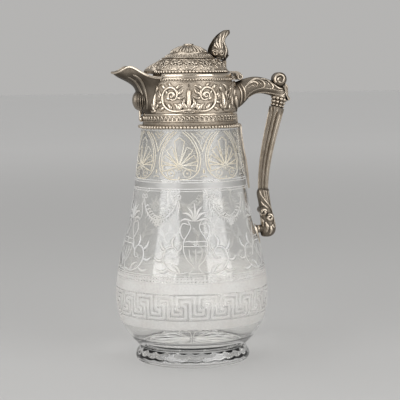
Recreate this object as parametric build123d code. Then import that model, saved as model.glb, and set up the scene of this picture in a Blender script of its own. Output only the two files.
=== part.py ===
from build123d import *
from math import cos, degrees, radians, sin
import os

# Claret jug: a blown glass body in a silver collar with a spout, a hinged lid and a cast handle.
# Millimetres. +Z is up, the spout points along -X and the handle along +X. The origin is the
# centre of the flat underside of the foot. Each piece is written to parts/NODE.step.

# ---- glass body ----
foot_radius = 49.1  # outer edge of the foot
foot_edge_height = 3.5  # height of the foot's widest line
foot_chamfer = 1.6  # how far the resting face stands inside the foot's edge
foot_cut_count = 24  # scallops cut into the upper face of the foot
foot_cut_depth = 0.9
foot_cut_slope = 45.0  # degrees of the scallops from level
foot_cut_lift = 0.70  # middle of a scallop outside the foot and above its edge, in its own radii
waist_radius = 45.3  # narrowest place, between the body and the foot
waist_height = 12.0
belly_radius = 65.0
belly_height = 57.0
shoulder_radius = 41.2  # where the glass goes into the collar
shoulder_height = 198.0
glass_wall = 3.0
glass_base = 15.0  # thickness of the solid bottom
neck_step = 2.9  # the neck starts this much inside the shoulder
neck_length = 15.5  # length of the glass inside the collar
neck_lead = 1.0  # height in which the glass steps in to the neck

# ---- collar ----
sheet = 1.2  # thickness of the silver sheet
cement_gap = 0.8  # plaster between glass and collar
cement_end = 1.0  # the plaster stops this far short of the neck's two ends
collar_seat = 1.0  # foot of the collar over the shoulder, inside the beaded ring
collar_height = 45.6
collar_taper = 4.9  # radius lost from the collar's foot to its rim
bead_ring_radius = 1.5  # half height of the beaded ring at the collar's foot
bead_ring_reach = 2.8  # how far its beads stand out past the glass
bead_ring_clearance = 0.4  # from the glass to the beaded ring
cavetto_height = 6.0
leaf_band_height = 4.8
leaf_band_proud = 1.1
wire_band_height = 2.4
wire_band_proud = 1.1
dot_band_height = 4.2
dot_band_proud = 0.5
rim_height = 3.0  # plain rounded moulding at the mouth
rim_proud = 0.9
rim_edge_proud = 0.36  # the same at the moulding's upper edge
mouth_edge = 1.2  # height of the mouth's inner edge, on which the lid is centred
frieze_proud = 0.7

# ---- spout ----
spout_reach = 66.6  # lip tip from the jug's axis
throat_reach = 47.0  # front of the throat from the axis
spout_width = 41.0  # where the spout leaves the collar
spout_flare = 7.0  # added to that width at the mouth
spout_sheet = 1.2
lip_rise = 6.0  # crest of the lip over the rim
lip_tip_rise = 1.6  # tip of the lip over the rim
lip_wire_radius = 1.1
boss_length = 12.4  # gadrooned boss that closes the spout below
boss_width = 15.0
boss_depth = 14.0
boss_proud = 0.8  # how far it stands past the throat
boss_lift = 2.0  # foot of the boss over the spout's floor
drop_radius = 2.3
drop_height = 1.92  # middle of the pendant's ball over the leaf band's foot
drop_seat = 0.69  # middle of the ball outside the leaf band
drop_stalk_radius = 1.15
drop_stalk_shift = 1.035  # from the ball's middle towards the front
drop_stalk_top = 3.0  # top of the stalk over the spout's floor

# ---- lid ----
lid_clearance = 0.25  # under the lid's rim
bezel_clearance = 0.3  # round the bezel
bezel_draft = 0.7  # radius lost at the bezel's lower edge, so that it swings clear
lid_sheet = 1.1
lid_radius = 33.4  # over the beads
lid_bead_depth = 1.4  # of the beaded wire, measured outwards
lid_rim_height = 2.4
lid_slope_radius = 21.8  # where the slope meets the ornament band
lid_slope_height = 10.6
lid_band_height = 3.7
lid_band_setback = 0.6  # flat step outside the ornament band
lid_band_overhang = 0.6  # the band's top stands this far outside the cap
cap_seat_width = 3.0  # of the ring on which the cap rests
cap_radius = 16.2  # fluted cap
cap_height = 7.4
button_radius = 5.2
button_height = 1.6
tenon_radius = 1.3
tenon_head_radius = 2.34
tenon_head_height = 0.8
tenon_grip = 0.8  # length of the tenon between its head and the cap
bezel_height = 5.0
bezel_sheet = 0.9
beak_reach = 38.4
beak_width = 30.0
beak_root_share = 0.86  # of the lid's radius, where the beak leaves the rim

# ---- hinge ----
hinge_x = 42.4
hinge_below_rim = 3.4  # pin axis under the top of the rim moulding
knuckle_radius = 2.5
pin_radius = 0.9
pin_stand = 0.3  # how far each end of the pin shows
pin_clearance = 0.05  # running fit of the lid's knuckles on the pin
lug_width = 8.0  # middle knuckle, on the jug
knuckle_width = 5.0  # each outer knuckle, on the lid
knuckle_gap = 0.3
strap_sheet = 1.3

# ---- thumbpiece ----
thumb_base_x = 32.0
thumb_height = 26.0
thumb_width = 21.0
thumb_sheet = 2.2
thumb_foot_rise = 10.4  # foot of the thumbpiece over the rim
stem_width = 5.0
stem_depth = 3.0

# ---- handle ----
handle_reach = 78.6  # centre of the capital from the jug's axis
arch_top_below_rim = 3.6
arch_width = 10.0
root_plate_width = 36.0
root_plate_sheet = 1.2
volute_radius = 5.9
volute_width = 11.0
volute_rise = 3.7  # top of the scroll over the arch
volute_setback = 0.5  # middle of the scroll towards the jug from the capital's middle
volute_edge = 1.2
volute_eye_share = 0.3
volute_eye_proud = 0.8  # how far the eye stands out on each side
outer_leaf_width = 9.0
capital_radius = 7.1
capital_height = 9.6
column_top_radius = 6.7
column_foot_radius = 4.4
column_length = 70.0
flute_count = 12
flute_radius = 1.35  # at the column's top
flute_seat = 1.06  # middle of a flute, in radii of the column
terminal_length = 41.0
terminal_radius = 6.2
terminal_standoff = 8.6  # from the glass to the middle of the terminal
terminal_seat_depth = 86.0  # below the shoulder, where that is measured
terminal_boss_radius = 3.41
terminal_boss_drop = 34.2  # below the column's foot
terminal_scroll_radius = 3.1
terminal_scroll_width = 14.0
leaf_plate_length = 17.0
leaf_plate_width = 12.0
leaf_plate_sheet = 1.3
leaf_plate_drop = 29.64  # top of the leaf plate below the column's foot
lappet_length = 53.0  # tongue on the glass under the handle
lappet_width = 15.0
lappet_sheet = 1.2
lappet_gap = 1.9  # it springs clear of the glass by this much
drop_bar_width = 5.0
drop_bar_proud = 1.8

# ---- heights that follow ----
rim_top = shoulder_height + collar_height
band_foot = shoulder_height + cavetto_height
wire_foot = band_foot + leaf_band_height
frieze_foot = wire_foot + wire_band_height
rim_foot = rim_top - rim_height
dots_foot = rim_foot - dot_band_height
collar_foot_radius = shoulder_radius - neck_step + cement_gap + sheet
lid_ledge_radius = lid_radius - lid_bead_depth - lid_sheet  # inside of the lid's rim
mouth_radius = lid_ledge_radius + bezel_clearance
hinge_z = rim_top - hinge_below_rim
FAR = 200.0  # half size of cutting blanks, larger than the jug is wide


def collar_radius(height, offset=0.0):
    """Radius of the collar's outer face at a height, plus an offset."""
    share = (height - shoulder_height) / collar_height
    return collar_foot_radius - collar_taper * share + offset


def neck_radius(height):
    """Outer radius of the glass neck inside the collar."""
    return collar_radius(height, -sheet - cement_gap)


def side_face(*edges):
    """Face in the X-Z plane bounded by the given lines and curves."""
    return make_face([Plane.XZ * edge for edge in edges])


def turned(*edges):
    """Solid of revolution about the jug's axis."""
    return revolve(side_face(*edges), Axis.Z)


# ---- outline of the glass ----
# Each pair is a share of the height and of the swelling between two named sections.
SHOULDER_SHAPE = [(0.20, 0.874), (0.32, 0.697), (0.44, 0.500), (0.56, 0.361), (0.80, 0.168)]
BOWL_SHAPE = [(0.245, 0.513), (0.445, 0.777), (0.645, 0.919)]


def glass_curves(offset=0.0):
    """Outline from the waist to the belly and from the belly to the shoulder."""
    bowl_rise = belly_height - waist_height
    bowl_swell = belly_radius - waist_radius
    bowl = [(waist_radius + offset, waist_height)]
    for height_share, swell_share in BOWL_SHAPE:
        radius = waist_radius + swell_share * bowl_swell + offset
        bowl.append((radius, waist_height + height_share * bowl_rise))
    bowl.append((belly_radius + offset, belly_height))
    upper_rise = shoulder_height - belly_height
    upper_swell = belly_radius - shoulder_radius
    upper = [(belly_radius + offset, belly_height)]
    for height_share, swell_share in SHOULDER_SHAPE:
        radius = shoulder_radius + swell_share * upper_swell + offset
        upper.append((radius, belly_height + height_share * upper_rise))
    upper.append((shoulder_radius + offset, shoulder_height))
    bowl_curve = Spline(*bowl, tangents=[(0.85, 1.0), (0.0, 1.0)])
    upper_curve = Spline(*upper, tangents=[(0.0, 1.0), (-0.065, 1.0)])
    return bowl_curve, upper_curve


def glass_radius(height):
    """Outer radius of the glass between the belly and the shoulder."""
    curve = glass_curves()[1]
    low, high = 0.0, 1.0
    for _ in range(30):
        middle = (low + high) / 2
        if (curve @ middle).Y < height:
            low = middle
        else:
            high = middle
    return (curve @ low).X


def glass_blank(offset):
    """The solid inside the glass's outer face, with its radius changed by the offset."""
    bowl, upper = glass_curves(offset)
    waist = waist_radius + offset
    shoulder = shoulder_radius + offset
    return turned(
        Line((0, waist_height), (waist, waist_height)),
        bowl,
        upper,
        Line((shoulder, shoulder_height), (0, shoulder_height)),
        Line((0, shoulder_height), (0, waist_height)),
    )


def glass_body():
    """Blown body with its thick base, cut foot and the neck that the collar hides."""
    bowl, upper = glass_curves()
    rest_radius = foot_radius - foot_chamfer
    neck_foot = shoulder_height + neck_lead
    neck_top = shoulder_height + neck_length
    outer = turned(
        Line((0, 0), (rest_radius, 0)),
        Line((rest_radius, 0), (foot_radius, foot_edge_height)),
        Spline(
            (foot_radius, foot_edge_height),
            (waist_radius, waist_height),
            tangents=[(-0.1, 1.0), (-0.1, 1.0)],
        ),
        bowl,
        upper,
        Line((shoulder_radius, shoulder_height), (neck_radius(neck_foot), neck_foot)),
        Line((neck_radius(neck_foot), neck_foot), (neck_radius(neck_top), neck_top)),
        Line((neck_radius(neck_top), neck_top), (0, neck_top)),
        Line((0, neck_top), (0, 0)),
    )
    hollow = glass_blank(-glass_wall)
    bore = Pos(0, 0, belly_height) * Cylinder(
        neck_radius(neck_top) - glass_wall,
        neck_top - belly_height,
        align=(Align.CENTER, Align.CENTER, Align.MIN),
    )
    above_floor = hollow & (Pos(0, 0, glass_base) * Cylinder(
        FAR, FAR * 2, align=(Align.CENTER, Align.CENTER, Align.MIN)
    ))
    body = outer - above_floor - bore
    cut_size = foot_radius * sin(radians(180.0 / foot_cut_count))
    cutter = Rot(0, foot_cut_slope, 0) * Cylinder(cut_size, waist_height)
    lift = cut_size * foot_cut_lift
    for spot in PolarLocations(foot_radius + lift - foot_cut_depth, foot_cut_count):
        body -= spot * Pos(0, 0, foot_edge_height + lift) * cutter
    return body


def collar_blank(offset=0.0):
    """Everything inside the collar's outer face, carried on above the mouth."""
    top = rim_top + 2 * lip_rise
    return turned(
        Line((0, shoulder_height), (collar_radius(shoulder_height, offset), shoulder_height)),
        Line(
            (collar_radius(shoulder_height, offset), shoulder_height),
            (collar_radius(top, offset), top),
        ),
        Line((collar_radius(top, offset), top), (0, top)),
        Line((0, top), (0, shoulder_height)),
    )


def neck_cement():
    """Plaster that holds the glass neck in the collar."""
    low = shoulder_height + cement_end + bead_ring_radius
    high = shoulder_height + neck_length - cement_end
    points = [
        (neck_radius(low), low),
        (collar_radius(low, -sheet), low),
        (collar_radius(high, -sheet), high),
        (neck_radius(high), high),
    ]
    return turned(Polyline(*points, close=True))


def mount_collar(spout_hollow):
    """Tapered silver tube, open towards the spout."""
    low = shoulder_height + collar_seat
    points = [
        (collar_radius(low, -sheet), low),
        (collar_radius(low), low),
        (collar_radius(rim_foot), rim_foot),
        (collar_radius(rim_foot, -sheet), rim_foot),
    ]
    return turned(Polyline(*points, close=True)) - spout_hollow


def applied_band(low, high, proud):
    """Ring soldered on the collar, with a rounded outer face."""
    middle = (low + high) / 2
    return turned(
        Line((collar_radius(low), low), (collar_radius(high), high)),
        ThreePointArc(
            (collar_radius(high), high),
            (collar_radius(middle, proud), middle),
            (collar_radius(low), low),
        ),
    )


def frieze_band(low, high, proud):
    """Flat stamped strip wrapped round the collar."""
    points = [
        (collar_radius(low), low),
        (collar_radius(low, proud), low),
        (collar_radius(high, proud), high),
        (collar_radius(high), high),
    ]
    return turned(Polyline(*points, close=True))


def rim_moulding():
    """Rounded moulding that carries the collar up to the mouth."""
    inner_low = collar_radius(rim_foot, -sheet)
    outer_low = collar_radius(rim_foot, dot_band_proud)
    edge_foot = rim_top - mouth_edge
    outer_high = collar_radius(rim_top, rim_edge_proud)
    middle = (rim_foot + rim_top) / 2
    return turned(
        Line((inner_low, rim_foot), (outer_low, rim_foot)),
        ThreePointArc(
            (outer_low, rim_foot),
            (collar_radius(middle, rim_proud), middle),
            (outer_high, rim_top),
        ),
        Line((outer_high, rim_top), (mouth_radius, rim_top)),
        Line((mouth_radius, rim_top), (mouth_radius, edge_foot)),
        Line((mouth_radius, edge_foot), (inner_low, rim_foot)),
    )


def bead_rim():
    """Beaded ring that covers the joint of glass and silver."""
    low = shoulder_height
    high = low + 2 * bead_ring_radius
    middle = low + bead_ring_radius
    inner = collar_radius(high)
    outer = shoulder_radius + bead_ring_reach
    lip = shoulder_radius + bead_ring_clearance
    seat = low + collar_seat
    return turned(
        Line((lip, low), (outer - bead_ring_radius, low)),
        ThreePointArc(
            (outer - bead_ring_radius, low),
            (outer, middle),
            (outer - bead_ring_radius, high),
        ),
        Line((outer - bead_ring_radius, high), (inner, high)),
        Line((inner, high), (collar_radius(seat), seat)),
        Line((collar_radius(seat), seat), (lip, low)),
    )


# ---- spout ----
# Sections of the spout: height over its floor, reach past the collar as a share of the
# throat's reach past it, root width as a share of the flare, fullness of its front.
SPOUT_SECTIONS = [
    (0.0, 0.14, 0.00, 1.00),
    (3.4, 0.50, 0.00, 0.98),
    (8.0, 0.78, 0.03, 0.95),
    (16.5, 1.00, 0.12, 0.88),
    (23.5, 1.32, 0.45, 0.80),
    (29.3, 2.20, 0.85, 0.72),
    (36.0, 3.18, 1.00, 0.66),
    (42.0, 3.60, 1.05, 0.66),
]
# Side view of the lip's edge: share of the way from the axis to the tip, share of the rise.
LIP_EDGE = [(0.27, -0.30), (0.42, -0.18), (0.58, 0.35), (0.76, 1.00), (0.90, 0.50)]
# Plan view of the same points: share of the half width at the mouth.
LIP_PLAN = [1.02, 0.98, 0.84, 0.58, 0.36]
spout_floor = frieze_foot


def spout_section(height, reach, half_width, fullness):
    """Level section: a back edge inside the collar and a rounded front."""
    back = collar_radius(height) * 0.45
    root = collar_radius(height) * 0.82
    length = reach - root
    near = (-(root + 0.32 * length), half_width * (0.80 + 0.12 * fullness))
    far = (-(root + 0.74 * length), half_width * (0.20 + 0.46 * fullness))
    front = (-reach, 0.0)
    right = Spline((-root, half_width), near, far, front, tangents=[(-1, -0.1), (0, -1)])
    left = Spline(
        front,
        (far[0], -far[1]),
        (near[0], -near[1]),
        (-root, -half_width),
        tangents=[(0, -1), (1, -0.1)],
    )
    edges = [
        Line((-back, -half_width), (-back, half_width)),
        Line((-back, half_width), (-root, half_width)),
        right,
        left,
        Line((-root, -half_width), (-back, -half_width)),
    ]
    return Pos(0, 0, height) * make_face(edges)


def spout_blank(inset):
    """Solid of the spout up past its lip, made smaller all round by the inset."""
    full_rise = lip_tip_rise + rim_top - spout_floor
    base_rise = SPOUT_SECTIONS[-2][0]
    sections = []
    for rise, reach_share, flare_share, fullness in SPOUT_SECTIONS:
        height = spout_floor + inset * 1.5 + rise * full_rise / base_rise
        start = collar_radius(height)
        throat = throat_reach - collar_radius(spout_floor)
        lip = spout_reach - lip_wire_radius - collar_radius(rim_top)
        last_share = SPOUT_SECTIONS[-2][1]
        stretch = max(reach_share - 1.0, 0.0) / (last_share - 1.0)
        reach = start + throat * min(reach_share, 1.0) + stretch * (lip - throat) - inset
        half_width = (spout_width + spout_flare * flare_share) / 2 - inset
        sections.append(spout_section(height, reach, half_width, fullness))
    return loft(sections)


def lip_points(side):
    """Places along the lip's edge on one side, from the mouth to just short of the tip."""
    points = []
    for (reach_share, rise_share), plan_share in zip(LIP_EDGE, LIP_PLAN):
        half_width = plan_share * (spout_width + spout_flare) / 2
        height = rim_top - lip_wire_radius + rise_share * (lip_rise + lip_wire_radius)
        start = collar_radius(rim_top) * 0.75
        first_share = LIP_EDGE[0][0]
        share = (reach_share - first_share) / (1.0 - first_share)
        reach = start + share * (spout_reach - lip_wire_radius - start)
        points.append((-reach, side * half_width, height))
    return points


def lip_tip():
    """Middle of the wire at the very tip."""
    return (-(spout_reach - lip_wire_radius), 0.0, rim_top + lip_tip_rise)


def above_lip():
    """Blank that covers all that lies above the lip's edge, seen from the side."""
    edge_points = [(x, z) for x, _, z in lip_points(1)]
    tip = lip_tip()
    edge_points.append((tip[0], tip[2]))
    last = (tip[0] - 10.0, tip[2] + 1.0)
    top = rim_top + 6 * lip_rise
    first = edge_points[0]
    outline = side_face(
        Line((0, first[1]), first),
        Spline(*edge_points, last),
        Line(last, (last[0], top)),
        Line((last[0], top), (0, top)),
        Line((0, top), (0, first[1])),
    )
    return extrude(outline, amount=spout_width, both=True)


def lip_wire():
    """Rounded wire along the edge of the lip."""
    right = lip_points(1)
    left = lip_points(-1)
    path = Spline(*right, lip_tip(), *reversed(left))
    return sweep((path ^ 0) * Circle(lip_wire_radius), path=path)


def spout_boss():
    """Gadrooned boss that closes the spout below its throat."""
    height = spout_floor + boss_length / 2 + boss_lift
    middle = -(throat_reach + boss_proud - boss_depth / 2)
    ball = scale(Sphere(1.0), by=(boss_depth / 2, boss_width / 2, boss_length / 2))
    return Pos(middle, 0, height) * ball


def spout_drop():
    """Small pendant under the boss: a ball and the stalk that it hangs from."""
    height = band_foot + drop_height
    middle = -(collar_radius(height, leaf_band_proud) + drop_seat)
    ball = Pos(middle, 0, height) * Sphere(drop_radius)
    stalk = Pos(middle - drop_stalk_shift, 0, height) * Cylinder(
        drop_stalk_radius,
        spout_floor + drop_stalk_top - height,
        align=(Align.CENTER, Align.CENTER, Align.MIN),
    )
    return ball + stalk


# ---- lid ----
lid_foot = rim_top + lid_clearance
lid_rim_top = lid_foot + lid_rim_height
slope_top = lid_rim_top + lid_slope_height
band_top = slope_top + lid_band_height
cap_top = band_top + cap_height
SLOPE_SHAPE = [(0.20, 0.84), (0.52, 0.60), (0.66, 0.42)]


def slope_curve(offset):
    """Outline of the lid's sloping part, from its rim to the ornament band."""
    points = [(lid_radius - lid_bead_depth + offset, lid_rim_top)]
    rise = slope_top - lid_rim_top
    for height_share, radius_share in SLOPE_SHAPE:
        radius = lid_slope_radius + radius_share * (lid_radius - lid_slope_radius) + offset
        points.append((radius, lid_rim_top + height_share * rise))
    points.append((lid_slope_radius + offset, slope_top))
    return Spline(*points)


def lid_shell():
    """Raised lid with its flat rim and the pointed beak over the spout."""
    foot_outer = lid_radius - lid_bead_depth
    inner_rim = lid_ledge_radius
    top_hole = cap_radius - cap_seat_width
    shell = turned(
        Line((inner_rim, lid_foot), (foot_outer, lid_foot)),
        Line((foot_outer, lid_foot), (foot_outer, lid_rim_top)),
        slope_curve(0.0),
        Line((lid_slope_radius, slope_top), (top_hole, slope_top)),
        Line((top_hole, slope_top), (top_hole, slope_top - lid_sheet)),
        Line(
            (top_hole, slope_top - lid_sheet),
            (lid_slope_radius - lid_sheet, slope_top - lid_sheet),
        ),
        Line(
            (lid_slope_radius - lid_sheet, slope_top - lid_sheet),
            (inner_rim, lid_rim_top - lid_sheet),
        ),
        Line((inner_rim, lid_rim_top - lid_sheet), (inner_rim, lid_foot)),
    )
    return shell


def lid_beak():
    """Pointed plate on the lid's rim that covers the throat of the spout."""
    root = lid_radius - lid_bead_depth
    tip = (-beak_reach, 0.0)
    side = (-root * beak_root_share, beak_width / 2)
    plan = make_face([
        Spline(tip, side, tangents=[(0.5, 1.0), (0.8, 0.6)]),
        Line(side, (side[0], -side[1])),
        Spline((side[0], -side[1]), tip, tangents=[(-0.8, 0.6), (-0.5, 1.0)]),
    ])
    plate = Pos(0, 0, lid_foot) * extrude(plan, amount=lid_rim_height)
    return plate - Pos(0, 0, lid_foot) * Cylinder(
        lid_radius, FAR, align=(Align.CENTER, Align.CENTER, Align.CENTER)
    )


def lid_bead_rim():
    """Beaded wire round the lid's edge."""
    inner = lid_radius - lid_bead_depth
    crown = lid_radius - 0.4 * lid_bead_depth
    middle = lid_foot + lid_rim_height / 2
    return turned(
        Line((inner, lid_foot), (crown, lid_foot)),
        ThreePointArc((crown, lid_foot), (lid_radius, middle), (crown, lid_rim_top)),
        Line((crown, lid_rim_top), (inner, lid_rim_top)),
        Line((inner, lid_rim_top), (inner, lid_foot)),
    )


def lid_bezel():
    """Flange under the lid that drops into the mouth and centres it."""
    outer = lid_ledge_radius
    foot = rim_top - bezel_height
    points = [
        (outer - bezel_sheet, lid_foot + bezel_sheet),
        (outer - bezel_sheet - bezel_draft, foot),
        (outer - bezel_draft, foot),
        (outer, lid_foot),
        (outer, lid_foot + bezel_sheet),
    ]
    return turned(Polyline(*points, close=True))


def lid_ornament_band():
    """Sloping ring of stamped ornament below the fluted cap."""
    inner = cap_radius - cap_seat_width
    points = [
        (inner, slope_top),
        (lid_slope_radius - lid_band_setback, slope_top),
        (cap_radius + lid_band_overhang, band_top),
        (inner, band_top),
    ]
    return turned(Polyline(*points, close=True))


cap_sphere_radius = (cap_radius**2 + cap_height**2) / (2 * cap_height)


def cap_sphere(inset):
    """Sphere that the cap is part of, made smaller by the inset."""
    return Pos(0, 0, cap_top - cap_sphere_radius) * Sphere(cap_sphere_radius - inset)


def lid_fluted_cap():
    """Low dome that carries the radiating flutes, bored for the button's tenon."""
    keep = Pos(0, 0, band_top) * Cylinder(
        cap_radius, cap_height, align=(Align.CENTER, Align.CENTER, Align.MIN)
    )
    bore = Pos(0, 0, cap_top) * Cylinder(tenon_radius, cap_height)
    return (cap_sphere(0.0) - cap_sphere(lid_sheet) - bore) & keep


def lid_button():
    """Flat round button with a tenon riveted through the cap."""
    seat = cap_top - button_radius**2 / (2 * cap_radius**2 / cap_height)
    disc = Pos(0, 0, seat) * Cylinder(
        button_radius,
        button_height + cap_top - seat,
        align=(Align.CENTER, Align.CENTER, Align.MIN),
    )
    disc -= cap_sphere(0.0)
    tenon_foot = cap_top - lid_sheet - tenon_grip
    tenon = Pos(0, 0, tenon_foot) * Cylinder(
        tenon_radius,
        cap_top + button_height / 4 - tenon_foot,
        align=(Align.CENTER, Align.CENTER, Align.MIN),
    )
    head = Pos(0, 0, tenon_foot) * Cylinder(
        tenon_head_radius,
        tenon_head_height,
        align=(Align.CENTER, Align.CENTER, Align.MAX),
    )
    return disc + tenon + head


def lid_blank():
    """Everything under the lid's outer face, for seating pieces on it."""
    edge = lid_radius - lid_bead_depth
    return turned(
        Line((0, lid_foot), (edge, lid_foot)),
        Line((edge, lid_foot), (edge, lid_rim_top)),
        slope_curve(0.0),
        Line((lid_slope_radius, slope_top), (0, slope_top)),
        Line((0, slope_top), (0, lid_foot)),
    )


# ---- hinge ----
def across(outline, low, high):
    """Solid made by running a side-view face from one Y to another."""
    return Pos(0, low, 0) * extrude(outline, amount=high - low, dir=(0, 1, 0))


def cross_rod(radius, length, x, z):
    """Rod along Y, centred on the jug's middle plane."""
    return Pos(x, 0, z) * Rot(90, 0, 0) * Cylinder(radius, length)


lug_half = lug_width / 2
knuckle_start = lug_half + knuckle_gap
hinge_half = knuckle_start + knuckle_width
strap_top = lid_foot + strap_sheet


def hinge_strap(beads):
    """Strap from the lid's beaded rim, rolled into two outer knuckles round the pin."""
    root = lid_radius - lid_bead_depth
    strap_end = hinge_x - 1.4 * knuckle_radius
    outline = side_face(
        Line((root, lid_foot), (root, strap_top)),
        Line((root, strap_top), (strap_end, strap_top)),
        Spline(
            (strap_end, strap_top),
            (hinge_x - 0.3 * knuckle_radius, (strap_top + hinge_z + knuckle_radius) / 2 + 0.4),
            (hinge_x + 0.64 * knuckle_radius, hinge_z + 0.75 * knuckle_radius),
            tangents=[(1, 0), (0.5, -1)],
        ),
        Line(
            (hinge_x + 0.64 * knuckle_radius, hinge_z + 0.75 * knuckle_radius),
            (hinge_x, hinge_z),
        ),
        Line((hinge_x, hinge_z), (hinge_x - 0.98 * knuckle_radius, hinge_z)),
        Line((hinge_x - 0.98 * knuckle_radius, hinge_z), (strap_end - 0.6, lid_foot)),
        Line((strap_end - 0.6, lid_foot), (root, lid_foot)),
    )
    strap = across(outline, -hinge_half, hinge_half)
    strap += cross_rod(knuckle_radius, 2 * hinge_half, hinge_x, hinge_z)
    slot_length = hinge_x + 2 * knuckle_radius - (strap_end - 1.0)
    slot = Pos(strap_end - 1.0, 0, hinge_z) * Box(
        slot_length,
        2 * knuckle_start,
        6 * knuckle_radius,
        align=(Align.MIN, Align.CENTER, Align.CENTER),
    )
    bore = cross_rod(pin_radius + pin_clearance, 3 * hinge_half, hinge_x, hinge_z)
    return strap - slot - bore - beads - lid_blank()


def hinge_lug(seats):
    """Middle knuckle with its web, soldered to the collar."""
    web_low = hinge_z - 0.85 * knuckle_radius
    web_high = hinge_z + 0.40 * knuckle_radius
    root = collar_radius(hinge_z) - sheet
    web = Pos(root, 0, web_low) * Box(
        hinge_x - root,
        lug_width,
        web_high - web_low,
        align=(Align.MIN, Align.CENTER, Align.MIN),
    )
    lug = web + cross_rod(knuckle_radius, lug_width, hinge_x, hinge_z)
    lug -= cross_rod(pin_radius, 2 * lug_width, hinge_x, hinge_z)
    lug -= collar_blank()
    for seat in seats:
        lug -= seat
    return lug


def hinge_pin():
    """Pin through all three knuckles, held tight in the middle one."""
    return cross_rod(pin_radius, 2 * (hinge_half + pin_stand), hinge_x, hinge_z)


# ---- thumbpiece ----
# Level sections: height over the stem's top, shift of the spine, depth towards the lid,
# half width, each as a share of the thumbpiece's height, height, height and half width.
THUMB_SECTIONS = [
    (0.00, 0.00, 0.10, 0.22),
    (0.10, 0.06, 0.38, 0.62),
    (0.26, 0.08, 0.62, 0.94),
    (0.42, 0.05, 0.56, 1.00),
    (0.56, -0.01, 0.44, 0.90),
    (0.70, -0.01, 0.36, 0.78),
    (0.84, 0.10, 0.36, 0.58),
    (0.95, 0.14, 0.26, 0.36),
    (1.00, 0.16, 0.16, 0.20),
]
stem_top = rim_top + thumb_foot_rise


def thumb_section(spine_x, depth, half_width, height):
    """Crescent section: a rounded back and wings that reach towards the lid."""
    wing_x = spine_x - depth
    inner_x = spine_x - thumb_sheet
    wing_sheet = min(thumb_sheet * 0.6, half_width * 0.4)
    outer_wing = (wing_x, half_width)
    inner_wing = (wing_x, half_width - wing_sheet)
    if depth < 1.5 * thumb_sheet:
        inner_x = spine_x - 0.8 * depth
    return Pos(0, 0, height) * make_face([
        ThreePointArc(outer_wing, (spine_x, 0), (wing_x, -half_width)),
        Line((wing_x, -half_width), (wing_x, -inner_wing[1])),
        ThreePointArc((wing_x, -inner_wing[1]), (inner_x, 0), inner_wing),
        Line(inner_wing, outer_wing),
    ])


def thumbpiece():
    """Cast palmette with wings that fold forward over the lid."""
    sections = []
    for rise, shift, depth, width in THUMB_SECTIONS:
        sections.append(
            thumb_section(
                thumb_base_x + shift * thumb_height,
                depth * thumb_height,
                width * thumb_width / 2,
                stem_top + rise * thumb_height,
            )
        )
    return loft(sections) - lid_blank()


def thumb_stem():
    """Short post from the lid's rim to the thumbpiece."""
    foot = lid_rim_top
    post = Pos(thumb_base_x - stem_depth / 2, 0, foot) * Box(
        stem_depth,
        stem_width,
        stem_top - foot,
        align=(Align.CENTER, Align.CENTER, Align.MIN),
    )
    return post - lid_blank()


# ---- handle ----
# Arch: share of the way from the collar to the capital, centre below the arch's top,
# direction in degrees from level, half height, share of the half width.
ARCH_STATIONS = [
    (0.00, 15.5, 14, 11.8, 1.45),
    (0.27, 9.8, 24, 8.4, 1.05),
    (0.58, 7.1, 0, 7.0, 0.95),
    (0.81, 9.6, -25, 6.3, 0.95),
    (0.96, 13.0, -60, 6.8, 1.05),
    (1.00, 17.2, -90, 6.9, 1.15),
]
arch_top = rim_top - arch_top_below_rim
root_height = arch_top - ARCH_STATIONS[0][1]
capital_top = arch_top - ARCH_STATIONS[-1][1]
LEAN = (-0.26, -1.0)  # direction of the column at its top, in X and Z
plate_skin = frieze_proud + root_plate_sheet
RING_SHARES = (1.0, 0.87, 0.84)  # radius of each ring of the capital


def oval_across(x, z, direction, half_height, half_width):
    """Oval at right angles to a direction in the side view."""
    angle = radians(direction)
    plane = Plane(
        origin=(x, 0, z),
        x_dir=(-sin(angle), 0, cos(angle)),
        z_dir=(cos(angle), 0, sin(angle)),
    )
    return plane * Ellipse(half_height, half_width)


def handle_root_plate():
    """Leaf-shaped plate that spreads the handle's pull over the collar."""
    top = dots_foot
    foot = frieze_foot
    half = root_plate_width / 2
    rise = top - foot
    outline = make_face([
        Plane.YZ * edge
        for edge in [
            Line((-half * 0.8, top), (half * 0.8, top)),
            Spline((half * 0.8, top), (half, top - 0.35 * rise), (0.3 * half, foot)),
            Line((0.3 * half, foot), (-0.3 * half, foot)),
            Spline((-0.3 * half, foot), (-half, top - 0.35 * rise), (-half * 0.8, top)),
        ]
    ])
    prism = extrude(outline, amount=FAR, dir=(1, 0, 0))
    return (collar_blank(plate_skin) - collar_blank(frieze_proud)) & prism


def handle_drop_bar(bands):
    """Tapered tail from the root plate down to the beaded ring."""
    top = frieze_foot
    foot = shoulder_height + 2 * bead_ring_radius
    half = drop_bar_width / 2
    points = [(-half, top), (half, top), (half * 0.6, foot), (-half * 0.6, foot)]
    outline = make_face(Plane.YZ * Polyline(*points, close=True))
    prism = extrude(outline, amount=FAR, dir=(1, 0, 0))
    bar = (collar_blank(drop_bar_proud) - collar_blank()) & prism
    for band in bands:
        bar -= band
    return bar


def handle_arch():
    """Acanthus arch from the root plate out and down to the capital."""
    start = collar_radius(root_height)
    sections = []
    for way, drop, direction, half_height, width_share in ARCH_STATIONS:
        x = start + way * (handle_reach - start)
        half_width = width_share * arch_width / 2
        sections.append(oval_across(x, arch_top - drop, direction, half_height, half_width))
    return loft(sections) - collar_blank(plate_skin)


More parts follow.
